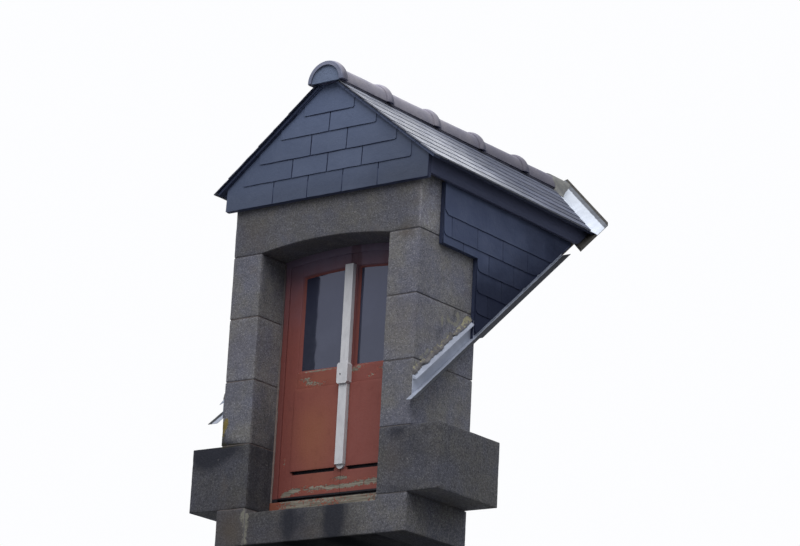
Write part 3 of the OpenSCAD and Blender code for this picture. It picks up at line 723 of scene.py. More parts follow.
class DormerColours(bpy.types.PropertyGroup):
    """Colours of the finishes."""
    granite: colour("Granite", "Middle tone of the granite", (0.132, 0.129, 0.143))
    gable_slate: colour("Gable slate", "Slates of the gable", (0.065, 0.084, 0.142))
    # The roof slate is much lighter than slate: painted sheen of a wet roof under an overcast sky.
    roof_slate: colour("Roof slate", "Slates of the saddle roof", (0.250, 0.262, 0.315))
    cheek_slate: colour("Cheek slate", "Slates of the cheeks", (0.0560, 0.0712, 0.129))
    paint: colour("Red paint", "Paint of the window where it is sheltered", (0.198, 0.057, 0.047))
    paint_faded: colour("Faded paint", "Paint of the window where it has faded", (0.233, 0.080, 0.047))
    white: colour("White paint", "Cover strip of the window", (0.585, 0.575, 0.600))
    # The panes' dark body is painted shade of the room behind.
    glass: colour("Glass", "Body of the panes", (0.023, 0.026, 0.040))
    clay: colour("Ridge clay", "Ridge tiles", (0.235, 0.222, 0.262))
    mortar: colour("Mortar", "Lime mortar", (0.150, 0.140, 0.140))
    valley_zinc: colour("Valley zinc", "Sheets of the valleys", (0.66, 0.70, 0.78))
    flashing_zinc: colour("Flashing zinc", "Flashings of jambs and cheeks", (0.33, 0.355, 0.43))
    timber: colour("Timber", "Structural timber", (0.20, 0.14, 0.09))
    boards: colour("Boards", "Sheathing boards", (0.22, 0.165, 0.11))
    stain: colour("Dark stain", "Fascias and the boards that show outside", (0.021, 0.025, 0.050))


# Granite

# The near-black places are real stains on the sill and painted shade elsewhere: the left-out gutter's shadow on the
# bond stones, shade under the gable and along the soffit, by the left arris and under the right bond stone.
STONE_SPOTS = {
    "stain": ((0.154, -0.095, 0.070, 0.14, 1.5), (-0.125, -0.095, 0.060, 0.12, 1.1), (-0.03, -0.095, 0.05, 0.12, 0.45),
              (0.42, -0.175, 0.15, 0.02, 0.4), (-0.67, 0.30, 0.12, 0.09, 1.4), (-0.52, 0.31, 0.10, 0.05, 0.8),
              (0.60, 0.22, 0.20, 0.16, 0.45), (0.50, 0.30, 0.06, 0.03, 0.5), (-0.2, 1.572, 0.5, 0.03, 0.4),
              (0.0, 1.36, 0.35, 0.02, 0.3), (-0.42, 0.98, 0.02, 0.3, 0.3), (0.50, 0.02, 0.12, 0.02, 0.4)),
    "brown": ((-0.49, -0.10, 0.10, 0.12, 1.0), (-0.46, 1.42, 0.10, 0.08, 0.4), (0.0, -0.15, 0.3, 0.05, 0.4),
              (0.50, 1.30, 0.05, 0.03, 0.9), (0.49, 0.17, 0.06, 0.10, 0.5), (0.49, 0.83, 0.13, 0.14, 0.4),
              (-0.49, 0.83, 0.13, 0.14, 0.4)),
    "moss": ((-0.50, 0.328, 0.10, 0.012, 1.0), (-0.57, 0.37, 0.02, 0.06, 0.8), (-0.49, 0.656, 0.10, 0.006, 0.35),
             (-0.40, 0.0, 0.05, 0.01, 0.4), (0.52, 0.15, 0.05, 0.12, 0.25)),
    "lichen": ((-0.562, 0.445, 0.022, 0.035, 1.1), (-0.577, 0.395, 0.014, 0.04, 0.8)),
    "smear": ((-0.405, -0.03, 0.032, 0.04, 0.95), (-0.392, -0.10, 0.028, 0.05, 0.8), (-0.40, -0.17, 0.03, 0.03, 0.8),
              (-0.50, -0.004, 0.05, 0.004, 0.5), (-0.49, 1.312, 0.09, 0.004, 0.5), (0.49, 1.312, 0.08, 0.005, 0.7),
              (0.43, 0.325, 0.04, 0.006, 0.6)),
}
MORTAR_DRIPS = ((0.222, 0.890, 0.014, 0.040, 1.2), (0.266, 0.925, 0.013, 0.03, 1.0), (0.350, 0.955, 0.020, 0.022, 1.2),
                (0.30, 0.905, 0.04, 0.012, 0.7), (0.13, 0.80, 0.03, 0.012, 0.6))
# Tones of the jamb stones from the foot up; the bond stones are darker for damp and for painted shade where the
# left-out gutter would shade them.
JAMB_TONES_AND_SHADE = {1: (0.66, 1.10, 1.26, 1.14), -1: (0.54, 1.10, 1.30, 1.10)}
HOLLOW, PITTING, CHIP = 0.0014, 0.0008, 0.005
BED_SHY, BED_FACE, BED_HALF = 0.003, 0.0024, 0.004
LIME_LUMP = 0.0015


def dressed(points, out, seed):
    """Weathers a stone inwards: hollows of a millimetre or two over the faces, chips of a few along the arrises."""
    arris = np.clip((1 - np.max(np.abs(out), axis=1)) * 3.4, 0, 1)
    hollows = HOLLOW * (0.5 + 0.5 * rough(points, 0.12, seed, 3))
    hollows = hollows + PITTING * (0.5 + 0.5 * rough(points, 0.03, seed + 5, 2))
    chips = arris * CHIP * np.clip(rough(points, 0.05, seed + 9, 3) * 2.0 - 0.3, 0, 1)
    return points - out * (hollows + chips)[:, None]


def stone(points, quads, tone, coarse=0.0):
    """A stone with its marks: tone with painted light and shade, stains and painted shade, moss, lichen and smear from
    their places on the front and the flanks.
    """
    x, y, z = points.T
    marks = {name: spots(x, z, places) * ramp(y, 0.30, -0.30) for name, places in STONE_SPOTS.items()}
    above = z - seat_z(y) - 0.135
    beside = (np.abs(x) > OUTER_W - 0.008) & (y < CHEEK_STEP_Y) & (y > 0.01)
    marks["stain"] += beside * 0.48 * bell(above, 0.05, 0.075) * (0.8 + 0.4 * noise(points * [1, 1, 0.5], 0.07, 61))
    marks["smear"] += beside * 0.95 * bell(above, 0, 0.018) * (0.7 + 0.8 * noise(points, 0.035, 62))
    marks["smear"] += beside * spots(y, z, MORTAR_DRIPS) * (x > 0)
    # Painted shade inside the opening: darker towards the lintel, a little less on the soffit, and darker towards the
    # sill.
    opening = (np.abs(x) < HALF_W + 0.004) & (y > 0.006)
    reveal_shade = 0.55 * ramp(z, 0.95, 0.36) - 0.16 * (z > OPENING_H - 0.02) + 0.50 * ramp(z, 0.75, -0.30)
    marks["stain"] += opening * reveal_shade
    # Painted light: the lintel's end faces are lighter than its front.
    painted_light_ends = ramp(np.abs(x), OUTER_W - 0.008, 0.006) * ramp(z, OPENING_H, 0.01)
    marks["tone"] = tone * (1 + 0.07 * rough(points, 0.25, 67, 2)) * (1 + 0.60 * painted_light_ends)
    marks["coarse"] = coarse
    return points, quads, marks


def rebated(points, outer, shy=0.0):
    """Draws the inner end of a jamb's course back to the rebate behind the reveal, in proportion along x."""
    inner = np.where(points[:, 1] > REVEAL_D, REBATE_X, HALF_W) + shy
    points[:, 0] = outer - (outer - points[:, 0]) * (outer - inner) / (outer - HALF_W - shy)


class DORMER_OT_granite(bpy.types.Operator):
    """Lays the sill, the jamb stones and the lintel, with mortar in their beds"""
    bl_idname = "dormer.granite"
    bl_label = "Granite stones"

    def execute(self, context):
        sizes, colours = context.scene.dormer_sizes, context.scene.dormer_colours
        finish, lime = granite_finish(colours.granite), mortar_finish(colours.mortar)
        arris, step, joint = sizes.stone_arris, sizes.stone_step, sizes.stone_joint / 2
        steps = (step, step * 1.5, step)
        self.jambs(sizes.seed, finish, joint, arris, steps)
        self.sill(sizes.seed, finish, joint, arris, steps)
        self.lintel(sizes.seed, finish, joint, arris, step)
        self.beds(sizes.seed, lime)
        return {"FINISHED"}

    def jambs(self, seed, finish, joint, arris, steps):
        """Four stones a side, the lowest a wide bonding block, each with the joinery's rebate behind its reveal."""
        for side, label in SIDES:
            for k, tone in enumerate(JAMB_TONES_AND_SHADE[side]):
                outer = HALF_W + (JAMB_W if k else BOND_W)
                low, high = (HALF_W, 0, k * COURSE_H + joint), (outer, WALL_T, (k + 1) * COURSE_H - joint)
                points, quads, out = block(low, high, arris, steps, REBATE_ROWS)
                rebated(points, outer)
                points = dressed(points * [side, 1, 1], out * [side, 1, 1], seed + 31 * k + 7 * side)
                make(f"{label}_jamb_stone_{k + 1}", [stone(points, quads, tone, 0.0 if k else 0.3)], finish,
                     (f"{label}_jamb_{k + 1}",))

    def sill(self, seed, finish, joint, arris, steps):
        """The sill, weathered between the jambs, and the small stone at its left end."""
        points, quads, out = block((-HALF_W + joint / 3, 0, -SILL_H), (OUTER_W, WALL_T, 0), arris, steps,
                                   extra=((HALF_W - 0.003, HALF_W), (NOSE_Y,), ()))
        fall = -SILL_FALL * np.clip(1 - points[:, 1] / NOSE_Y, 0, 1) * ramp(points[:, 0], HALF_W, -0.003)
        points[:, 2] = -SILL_H + (points[:, 2] + SILL_H) * (fall + SILL_H) / SILL_H
        points = dressed(points, out, seed + 3)
        parts = [stone(points, quads, 0.52 + 0.38 * ramp(points[:, 0], 0.2, 0.15), 0.3)]
        points, quads, out = block((-OUTER_W, 0, -SILL_H), (-HALF_W - 2 * joint, WALL_T, 0), arris, steps)
        parts.append(stone(dressed(points, out, seed + 4), quads, 0.62, 0.1))
        make("dressed_sill", parts, finish, ("sill_stone",))

    def lintel(self, seed, finish, joint, arris, step):
        """The lintel with its arched soffit, and its thicker back over the joinery."""
        foot = OPENING_H + joint
        points, quads, out = block((-OUTER_W, 0, foot), (OUTER_W, REVEAL_D, LINTEL_TOP), arris, step,
                                   extra=((-HALF_W, HALF_W), (), ()))
        low = np.where(np.abs(points[:, 0]) < HALF_W, np.maximum(arch(points[:, 0]), foot), foot)
        points[:, 2] = LINTEL_TOP - (LINTEL_TOP - points[:, 2]) * (LINTEL_TOP - low) / (LINTEL_TOP - foot)
        points = dressed(points, out, seed + 5)
        # The lintel is darker, for dirt and painted shade under the gable, and lighter towards its right end.
        parts = [stone(points, quads, 0.76 + 0.24 * ramp(points[:, 0], 0.5, 0.08))]
        for x0, x1, low in ((-OUTER_W, -REBATE_X, foot), (REBATE_X, OUTER_W, foot), (-REBATE_X, REBATE_X, HEAD_TOP)):
            points, quads, _ = block((x0, REVEAL_D, low), (x1, REVEAL_D + REBATE_D, LINTEL_TOP), 0.002, 0.05)
            parts.append((points, quads, {"tone": 0.9}))
        make("dressed_lintel", parts, finish, ("lintel_stone",))

    def beds(self, seed, finish):
        """Mortar recessed in the joints between the stones, and the pointing between the reveals and the joinery."""
        beds, shy = [], BED_SHY
        for side, _ in SIDES:
            for k in range(5):
                outer = min(HALF_W + (JAMB_W if k else BOND_W), OUTER_W) - 0.004
                low, high = k * COURSE_H - BED_HALF, k * COURSE_H + BED_HALF
                points, quads, out = block((HALF_W + shy, BED_FACE, low), (outer, WALL_T - 0.01, high), shy, 0.02,
                                           REBATE_ROWS)
                rebated(points, outer, shy)
                points = points * [side, 1, 1]
                hollow = 0.0010 * (1 + rough(points, 0.03, seed + k))
                marks = {"grime": 0.25 if k < 4 else 0.9, "rosy": 0.15 if side > 0 else 0.6}
                beds.append((points - out * [side, 1, 1] * hollow[:, None], quads, marks))
            low, high = (HALF_W - 0.0075, REVEAL_D - 0.008, 0.062), (HALF_W + shy, REVEAL_D + 0.0005, OPENING_H - 0.01)
            points, quads, _ = block(low, high, 0.002, (0.004, 0.004, 0.008))
            ragged = 0.0045 * np.clip(rough(points, 0.05, seed + 70 + side, 3) + 0.35, 0, 1.3)
            x = points[:, 0]
            points[:, 0] = side * np.where(x < HALF_W, np.minimum(x + ragged, HALF_W + 0.001), x)
            # The pointing darkens towards the top as painted shade under the lintel.
            beds.append((points, quads, {"rosy": 0.9, "grime": np.clip((points[:, 2] - 0.55) / 0.6, 0, 0.75)}))
        low, high = (-HALF_W - 0.006, 0.002, -SILL_H + 0.002), (-HALF_W + 0.004, WALL_T - 0.01, -0.004)
        points, quads, _ = block(low, high, 0.002, 0.02)
        beds.append((points, quads, {"cream": 0.35}))
        make("stone_beds", beds, finish)


# Joinery

PEELED = ((-0.235, 0.684, 0.040, 0.010, 1.0), (-0.170, 0.655, 0.090, 0.011, 0.90), (-0.15, 0.723, 0.14, 0.005, 1.15),
          (-0.215, 0.667, 0.05, 0.008, 0.65), (0.085, 0.708, 0.035, 0.020, 0.75), (0.135, 0.722, 0.03, 0.010, 0.65),
          (0.062, 0.692, 0.018, 0.012, 0.6), (0.245, 0.697, 0.045, 0.012, 0.95), (0.176, 0.664, 0.022, 0.012, 1.0),
          (0.06, 0.655, 0.02, 0.01, 0.5), (-0.315, 0.104, 0.040, 0.020, 0.80), (-0.265, 0.117, 0.04, 0.014, 0.82),
          (-0.13, 0.118, 0.110, 0.018, 0.90), (-0.02, 0.116, 0.06, 0.014, 0.75), (0.06, 0.112, 0.05, 0.014, 0.75),
          (0.14, 0.124, 0.080, 0.020, 0.80), (0.24, 0.128, 0.07, 0.020, 0.66), (-0.341, 0.266, 0.007, 0.030, 0.95),
          (0.020, 0.158, 0.055, 0.010, 1.45), (-0.33, 0.090, 0.05, 0.008, 0.5), (-0.34, 0.60, 0.01, 0.02, 0.35),
          (-0.31, 0.44, 0.01, 0.03, 0.3), (-0.384, 0.85, 0.012, 0.10, 0.35), (0.31, 0.11, 0.08, 0.02, 0.45))
FADED = ((-0.15, 0.38, 0.14, 0.22, 0.9), (-0.10, 0.14, 0.30, 0.05, 0.15), (0.20, 0.14, 0.25, 0.05, 0.2),
         (-0.15, 0.68, 0.2, 0.05, 0.4))
# Heights and amounts of the bluish painted shade under the lintel.
SHADE_HEIGHTS, SHADE_DEPTHS = (0.80, 1.05, 1.18, 1.27, 1.33), (0.0, 0.32, 0.42, 0.75, 1.0)


def painted(points, quads):
    """A part with wear, fading and painted shade: the shade grows under the lintel, to the hanging stiles and beside
    the strip.
    """
    x, y, z = points.T
    outside = y < LEAF_Y + 0.012
    shade = np.interp(z, SHADE_HEIGHTS, SHADE_DEPTHS)
    # deep is maroon painted shade: towards the left hanging stile, a little higher up, and on the meeting stile in the
    # cover strip's shadow.
    deep = 0.14 * ramp(x, -0.22, -0.12) + 0.05 * ramp(z, 0.60, 0.45)
    deep = deep + 0.55 * (x > MEETING_X - 0.002) * (x < MEETING_X + MEETING_W + 0.014) * ramp(z, 0.70, 0.02)
    return points, quads, {"wear": spots(x, z, PEELED) * outside, "fade": spots(x, z, FADED),
                           "shade": shade * outside, "deep": deep * outside}


def member(low, high, ease=0.0008, step=0.012, warp=None, rows=()):
    """A piece of joinery with eased arrises; warp may bend it to the arch, and rows adds heights to its grid."""
    points, quads, _ = block(low, high, ease, step, extra=((), (), rows))
    if warp is not None:
        points[:, 2] = warp(points)
    return painted(points, quads)


def to_arch(low, high, inset):
    """A warp that stretches heights from low to high so that the top follows an arch."""
    return lambda p: low + (p[:, 2] - low) * (arch(p[:, 0], inset) - low) / (high - low)


def light_outline(x0, x1, inset):
    """The edge of a glazed opening, drawn in by an inset: sill, side, arched head and side, as points of x and z."""
    low = GLASS_LOW + inset
    a, b = x0 + inset, x1 - inset
    t = np.linspace(0, 1, 24, endpoint=False)
    head = b + (a - b) * t
    top_b, top_a = arch(b, TOP_INSET + inset), arch(a, TOP_INSET + inset)
    x = np.concatenate([a + (b - a) * t, b + 0 * t, head, a + 0 * t])
    z = np.concatenate([low + 0 * t, low + (top_b - low) * t, arch(head, TOP_INSET + inset), top_a + (low - top_a) * t])
    return x, z


def putty(x0, x1):
    """A bevel of putty round a pane: a triangle carried round the opening's edge."""
    rings = []
    for inset, y in ((0.0, LEAF_Y + 0.003), (0.011, GLASS_FRONT - 0.0005), (0.0, GLASS_FRONT - 0.0005)):
        x, z = light_outline(x0, x1, inset)
        rings.append(np.stack([x, np.full(len(x), y), z], 1))
    n, m = len(rings), len(rings[0])
    i, j = np.meshgrid(np.arange(n), np.arange(m), indexing="ij")
    i2, j2 = (i + 1) % n * m, (j + 1) % m
    return painted(np.concatenate(rings), np.stack([i * m + j, i * m + j2, i2 + j2, i2 + j], -1).reshape(-1, 4))


class DORMER_OT_joinery(bpy.types.Operator):
    """Builds the two leaves, the threshold and the frame, and paints the cover strip and the panes"""
    bl_idname = "dormer.joinery"
    bl_label = "Window joinery"

    def execute(self, context):
        colours = context.scene.dormer_colours
        paint = paint_finish(colours.paint, colours.paint_faded)
        for side, label in reversed(SIDES):
            self.leaf(side, label, paint)
        self.threshold(paint)
        self.frame(paint)
        coat(white_finish(colours.white), "cover_strip")
        coat(glass_finish(colours.glass), "glass_panes")
        return {"FINISHED"}

    def leaf(self, side, label, paint):
        """A leaf: two stiles, arched top rail, middle and bottom rail, raised panel in its recess, and putty."""
        hang = sorted((side * LIGHT_OUT, side * LEAF_OUT))
        if side > 0:
            meet = (MEETING_X + 0.001, MEETING_X + MEETING_W)
            a, b = meet[1], hang[0]
        else:
            meet = (MEETING_X - MEETING_W, MEETING_X - 0.001)
            a, b = hang[1], meet[0]
        foot = (LEAF_LOW + 0.009, LEAF_LOW + 0.011)
        bent = to_arch(LEAF_LOW, STILE_TOP, LEAF_INSET)
        rail_z, rail_h = TOP_RAIL
        opened = lambda p: arch(p[:, 0], TOP_INSET)
        stiles = [member((x0, LEAF_Y, LEAF_LOW), (x1, LEAF_BACK, STILE_TOP), warp=bent, rows=foot)
                  for x0, x1 in (hang, meet)]
        top = member((a, LEAF_Y, rail_z), (b, LEAF_BACK, STILE_TOP), warp=lambda p: opened(p)
                     + (p[:, 2] - rail_z) / rail_h * (arch(p[:, 0], LEAF_INSET) - opened(p)))
        middle = member((a, LEAF_Y, PANEL_HIGH), (b, LEAF_BACK, GLASS_LOW))
        rail = member((a, LEAF_Y, LEAF_LOW), (b, LEAF_BACK, RAIL_TOP), rows=foot)
        recess = member((a, LEAF_Y + 0.018, RAIL_TOP - 0.004), (b, LEAF_BACK - 0.004, PANEL_LOW + 0.004))
        raised = member((a - PANEL_SIDE, LEAF_Y - PANEL_OUT, PANEL_LOW), (b + PANEL_SIDE, LEAF_Y + 0.028, PANEL_HIGH),
                        ease=0.003)
        parts = stiles + [top, middle, rail, recess, raised, putty(a, b)]
        if side < 0:
            tongue = member((MEETING_X - 0.002, LEAF_Y + 0.012, LEAF_LOW + 0.001),
                            (MEETING_X + 0.0008, LEAF_BACK - 0.003, STILE_TOP), ease=0.0002,
                            warp=to_arch(LEAF_LOW + 0.001, STILE_TOP, LEAF_INSET + 0.001))
            # The tongue is near-black, painted shade in the meeting gap.
            parts.append(marked(tongue, hidden=1.0))
        # Near-black painted shade at the leaves' foot, on the bottom rail's top, in the recess and under the raised
        # panel.
        for points, _, marks in parts:
            marks["hidden"] = np.maximum(marks.get("hidden", 0.0), points[:, 2] < LEAF_LOW + 0.010)
            marks["fade"] = marks["fade"] - 0.6 * (side > 0) * (points[:, 2] > 0.2)
        rail[2]["hidden"] = np.maximum(rail[2]["hidden"], rail[0][:, 2] > RAIL_TOP - 0.0004)
        marked(recess, hidden=1.0)
        marked(raised, hidden=raised[0][:, 2] < PANEL_LOW + 0.0008)
        make(f"{label}_window_leaf", parts, paint, (f"{label}_leaf",), angle=50)

    def threshold(self, paint):
        """The worn threshold in two steps, and the weather bar under the leaves."""
        shy = 0.0005
        board = [member((shy - x, y0, 0.0), (x - shy, y1, THRESHOLD_TOP), ease=ease, step=step)
                 for x, y0, y1, ease, step in ((HALF_W, NOSE_Y, REVEAL_D + 0.002, 0.004, 0.01),
                                               (REBATE_X, REVEAL_D, REVEAL_D + FRAME_T, 0.001, 0.02))]
        for points, _, marks in board:
            x, y, z = points.T
            marks["wear"] = 0.80 + 0.30 * noise(points, 0.09, 77) - 0.7 * ramp(x, -0.33, -0.05)
            marks["fade"] = 0.9
            # Near-black painted shade on the top behind the leaves' front; the weather bar is near-black all over.
            marks["hidden"] = (z > THRESHOLD_TOP - 0.0015) & (y > LEAF_Y - 0.012)
        bar = member((-LEAF_OUT, LEAF_Y + 0.014, THRESHOLD_TOP - 0.001),
                     (LEAF_OUT, LEAF_BACK - 0.004, LEAF_LOW - 0.0006), ease=0.0005, step=0.05)
        make("worn_threshold", board + [marked(bar, hidden=1.0)], paint, ("window_threshold",))

    def frame(self, paint):
        """The frame: two posts and an arched head, each with a lip in front of the leaves."""
        inner, back = HALF_W - FRAME_SHOW, REVEAL_D + FRAME_T
        head_z, head_h = HEAD_RAIL
        parts = []
        for side in (-1, 1):
            for x, y0, y1 in ((inner, REVEAL_D, LEAF_Y), (inner + FRAME_LIP, LEAF_Y, back)):
                lo, hi = sorted((side * x, side * REBATE_X))
                parts.append(member((lo, y0, THRESHOLD_TOP), (hi, y1, POST_TOP), ease=0.001, step=(0.03, 0.02, 0.012),
                                    warp=to_arch(THRESHOLD_TOP, POST_TOP, FRAME_SHOW),
                                    rows=(LEAF_LOW + 0.005, LEAF_LOW + 0.007)))
        for inset, y0, y1 in ((FRAME_SHOW, REVEAL_D, LEAF_Y), (FRAME_SHOW - FRAME_LIP, LEAF_Y, back)):
            soffit = lambda p: arch(p[:, 0], inset)
            parts.append(member((-REBATE_X, y0, head_z), (REBATE_X, y1, HEAD_TOP), ease=0.001, step=(0.012, 0.02, 0.03),
                                warp=lambda p: soffit(p) + (p[:, 2] - head_z) / head_h * (HEAD_TOP - soffit(p))))
        for points, _, marks in parts:
            z = points[:, 2]
            # Painted shade: more at the head, maroon lower down, near-black at the foot.
            marks["shade"] = marks["shade"] + 0.3 * (z > 1.29)
            marks["deep"] = marks["deep"] + 0.24 * ramp(z, 1.25, -0.25)
            marks["hidden"] = z < LEAF_LOW + 0.006
        make("painted_frame", parts, paint, ("window_frame",))


# Timber and boards

PLANK_GAP = 0.0005
PLANK_STEPS = (0, 0.05, 0.5, 0.95, 1.0)
FINE_START = np.concatenate([[0, 0.01], np.linspace(0.05, 1, 20)])
CHEEK_LEVELS = (0.86, 0.994, 1.133, CHEEK_STEP_Z, 1.430, CHEEK_TOP)
SLIVER = 0.004
RAGGED = 0.0011


class DORMER_OT_timber(bpy.types.Operator):
    """Gives each run of structural timber its grain"""
    bl_idname = "dormer.timber"
    bl_label = "Timber frame"

    def execute(self, context):
        colours = context.scene.dormer_colours
        across, along, upright = (0.05, 1.0, 1.0), (1.0, 0.05, 1.0), (1.0, 1.0, 0.05)
        for name, grain, turn, nodes in (
                ("timber across", across, 0, ("inner_lintel", "gable_frame")),
                ("timber along", along, 0, ("left_wall_plate", "right_wall_plate", "ridge_beam")),
                ("left rafter timber", across, PITCH, ("left_rafters",)),
                ("right rafter timber", across, -PITCH, ("right_rafters",)),
                ("stud timber", upright, 0, ("left_cheek_frame", "right_cheek_frame"))):
            coat(timber_finish(name, colours.timber, grain, turn=(0, turn, 0)), *nodes)
        # The fascias grow paler near their top: painted light in the shade under the eaves.
        coat(timber_finish("dark stain", tint(colours.stain, 1.45), along,
                           paler=(PLACE[2] + 1.53, PLACE[2] + 1.64, (2.1, 2.0, 1.75))), "left_fascia", "right_fascia")
        return {"FINISHED"}


def spread(value):
    """A function that gives a value all over, unless the value is a function already."""
    return value if callable(value) else lambda u, v=0: value + 0 * u


def panels(rects, low, high, place, lift, thick, seed, s=(0, 0.02, 0.25, 0.5, 0.75, 0.98, 1.0),
           t=(0, 0.03, 0.3, 0.6, 0.94, 1.0), rim=1.0, wobble=0.0, under=None):
    """Thin panels on a plane, cut to the plane's outline, in one part.

    A panel spans u0 to u1; at each u it runs from the larger of v0 and low(u) to the smaller of v1 and high(u).
    place(u, v, h) gives the point at height h above the carrying boards, and lift(u, v) the height of the face.
    low, high and lift may be plain numbers. s and t are the places of the grid's rows and columns, from 0 to 1.
    """
    low, high, lift = spread(low), spread(high), spread(lift)
    u0, u1, v0, v1 = np.array(rects, float).T
    probe = u0[:, None] + (u1 - u0)[:, None] * np.linspace(0, 1, 61)
    fits = np.minimum(v1[:, None], high(probe)) - np.maximum(v0[:, None], low(probe)) > SLIVER
    keep = fits.sum(1) > 1
    rows = np.arange(len(rects))[keep]
    a, b = probe[rows, fits.argmax(1)[keep]], probe[rows, 60 - fits[:, ::-1].argmax(1)[keep]]
    foot, head = (e[keep][:, None, None] for e in (v0, v1))
    s, t = np.asarray(s), np.asarray(t)
    u = (a[:, None] + (b - a)[:, None] * s)[:, :, None] + 0 * t
    bottom = np.maximum(foot, low(u))
    top = np.maximum(np.minimum(head, high(u)), bottom + 0.001)
    v = bottom + (top - bottom) * t
    rng = np.random.default_rng(seed)
    tone = rng.uniform(-1, 1, len(rows))[:, None, None] + 0 * u
    tilt = rng.uniform(-1, 1, (3, len(rows), 1, 1)) * wobble
    face = lift(u, v) - np.abs(tilt[0] * (s[None, :, None] - 0.5)) - np.abs(tilt[1]) * np.sin(math.pi * t) * 0.6
    if wobble:
        ragged = RAGGED * (1 + noise(np.stack([u, v, 0 * u + seed], -1), 0.02, seed + 1))
        across, along = np.zeros_like(u), np.zeros_like(u)
        across[:, :, 0], across[:, :, -1] = 1, -1
        along[:, 0, :], along[:, -1, :] = 1, -1
        v = v + across * ragged
        u = u + along * ragged * 0.7
    points, quads = slabs(place(u, v, face), place(u, v, face - thick))
    edge = np.zeros_like(u)
    ends, sides = rim if isinstance(rim, tuple) else (rim, rim)
    edge[:, :, [0, -1]] = sides
    edge[:, [0, -1], :] = ends
    marks = {"tone": tone, "rim": edge, "under": under(u, v) if under else 0 * u}
    both = lambda front, back: np.stack([m.reshape(len(rows), -1) for m in (front, back)], 1).ravel()
    return points, quads, {**{k: both(m, m) for k, m in marks.items()}, "back": both(0 * u, 0 * u + 1)}


def sloped(side):
    """Places slope distance u and distance y v on the right (1) or left (-1) slope, at a height over its boards."""
    def place(u, v, h):
        rise = h - ROOF_SLATE
        return np.stack([side * (u * COS_D + rise * SIN_D), v + 0 * u, APEX_Z - u * SIN_D + rise * COS_D], -1)
    return place


def gabled(u, v, h):
    """Places x u and height v at a distance in front of the gable's boards."""
    return np.stack([u, -BOARD - h, v], -1)


def cheeked(side):
    """Places y u and height v at a distance outside the boards of the right (1) or left (-1) cheek."""
    return lambda u, v, h: np.stack([side * (CHEEK_X + h), u, v], -1)


def verge_z(u):
    """Height of the underside of the roof's boards."""
    return roof_z(u, COVER)


class DORMER_OT_boarding(bpy.types.Operator):
    """Lays separate boards on the rafters, the gable and the cheeks, stained dark where they show outside, near-black
    as painted shade at some edges
    """
    bl_idname = "dormer.boarding"
    bl_label = "Boarding"

    def execute(self, context):
        sizes, colours = context.scene.dormer_sizes, context.scene.dormer_colours
        seed, width = sizes.seed, sizes.plank_width
        along = timber_finish("boards along", colours.boards, (1.0, 0.05, 1.0), stain=colours.stain)
        across = timber_finish("boards across", colours.boards, (0.05, 1.0, 1.0), stain=colours.stain)
        for side, label in SIDES:
            self.slope(side, label, width, along, seed)
            self.cheek(side, label, along, seed)
        rects = [(-GABLE_HALF, GABLE_HALF, a + PLANK_GAP, a + width - PLANK_GAP)
                 for a in np.arange(GABLE_LOW, 2.2, width)]
        part = panels(rects, GABLE_LOW, verge_z, gabled, 0.0, BOARD, seed + 23, s=np.linspace(0, 1, 33), t=PLANK_STEPS)
        x, _, z = part[0].T
        edge = (z < GABLE_LOW + 0.003) | (np.abs(x) > GABLE_HALF - 0.002)
        make("gable_planks", [marked(part, outside=edge)], across, ("gable_boards",))
        coat(timber_finish("valley boards", tint(colours.boards, (0.24, 0.30, 0.42)), (0.3, 0.3, 1.0)),
             "left_valley_board", "right_valley_board")
        return {"FINISHED"}

    def cheek(self, side, label, finish, seed):
        """Level boards of one cheek down to the seat, stained where their edges show beside the slates."""
        rects = [(CHEEK_FRONT if a > CHEEK_STEP_Z - 0.01 else CHEEK_STEP_Y, seat_y(CHEEK_TOP, ROOF_SLATE),
                  a + PLANK_GAP, b - PLANK_GAP) for a, b in zip(CHEEK_LEVELS, CHEEK_LEVELS[1:])]
        part = panels(rects, lambda u: seat_z(u, ROOF_SLATE), CHEEK_TOP, cheeked(side), 0.0, BOARD, seed + 21 + side,
                      s=FINE_START, t=PLANK_STEPS)
        _, y, z = part[0].T
        stepped = (y > CHEEK_STEP_Y - 0.004) & (z < CHEEK_STEP_Z) | (z < CHEEK_STEP_Z + 0.004)
        edge = (y < CHEEK_FRONT + 0.004) | ((y < CHEEK_STEP_Y + 0.004) & stepped)
        edge = edge | (z < seat_z(y, ROOF_SLATE) + 0.03)
        # Edges that show beside the slates are near-black, painted shade.
        make(f"{label}_cheek_planks", [marked(part, outside=3.0 * edge)], finish,
             (f"{label}_cheek_boards",))

    def slope(self, side, label, width, finish, seed):
        """Boards along one slope, with their undersides cut back to the valley board."""
        reach = (EAVE_HALF - DRIP) / COS_D
        rects = [(a + 0.001, min(a + width, reach) - 0.001, -VERGE_OUT + DRIP, BEYOND)
                 for a in np.arange(0.002, reach, width)]
        part = panels(rects, -BEYOND, lambda u: valley_y(u * COS_D), sloped(side), 0.0, ROOF_BOARD, seed + 11 + side,
                      s=(0, 0.03, 0.5, 0.97, 1.0), t=np.concatenate([[0, 0.02], np.linspace(0.05, 1, 20)]))
        points = part[0]
        x, y, _ = points.T
        # At the verge the board ends are slate blue on the right and near-black on the left as painted shade; at the
        # eaves they are dark stained.
        outside = np.where(y < -0.005, 2.5 - 0.5 * side, np.abs(x) > GABLE_HALF - 0.01)
        half = len(points) // len(rects)
        under = (np.arange(len(points)) % half) >= half // 2
        points[:, 1] = np.where(under, np.minimum(y, valley_y(np.abs(x), COVER)), y)
        make(f"{label}_roof_planks", [marked(part, outside=outside)], finish, (f"{label}_roof_boards",))


# Slates

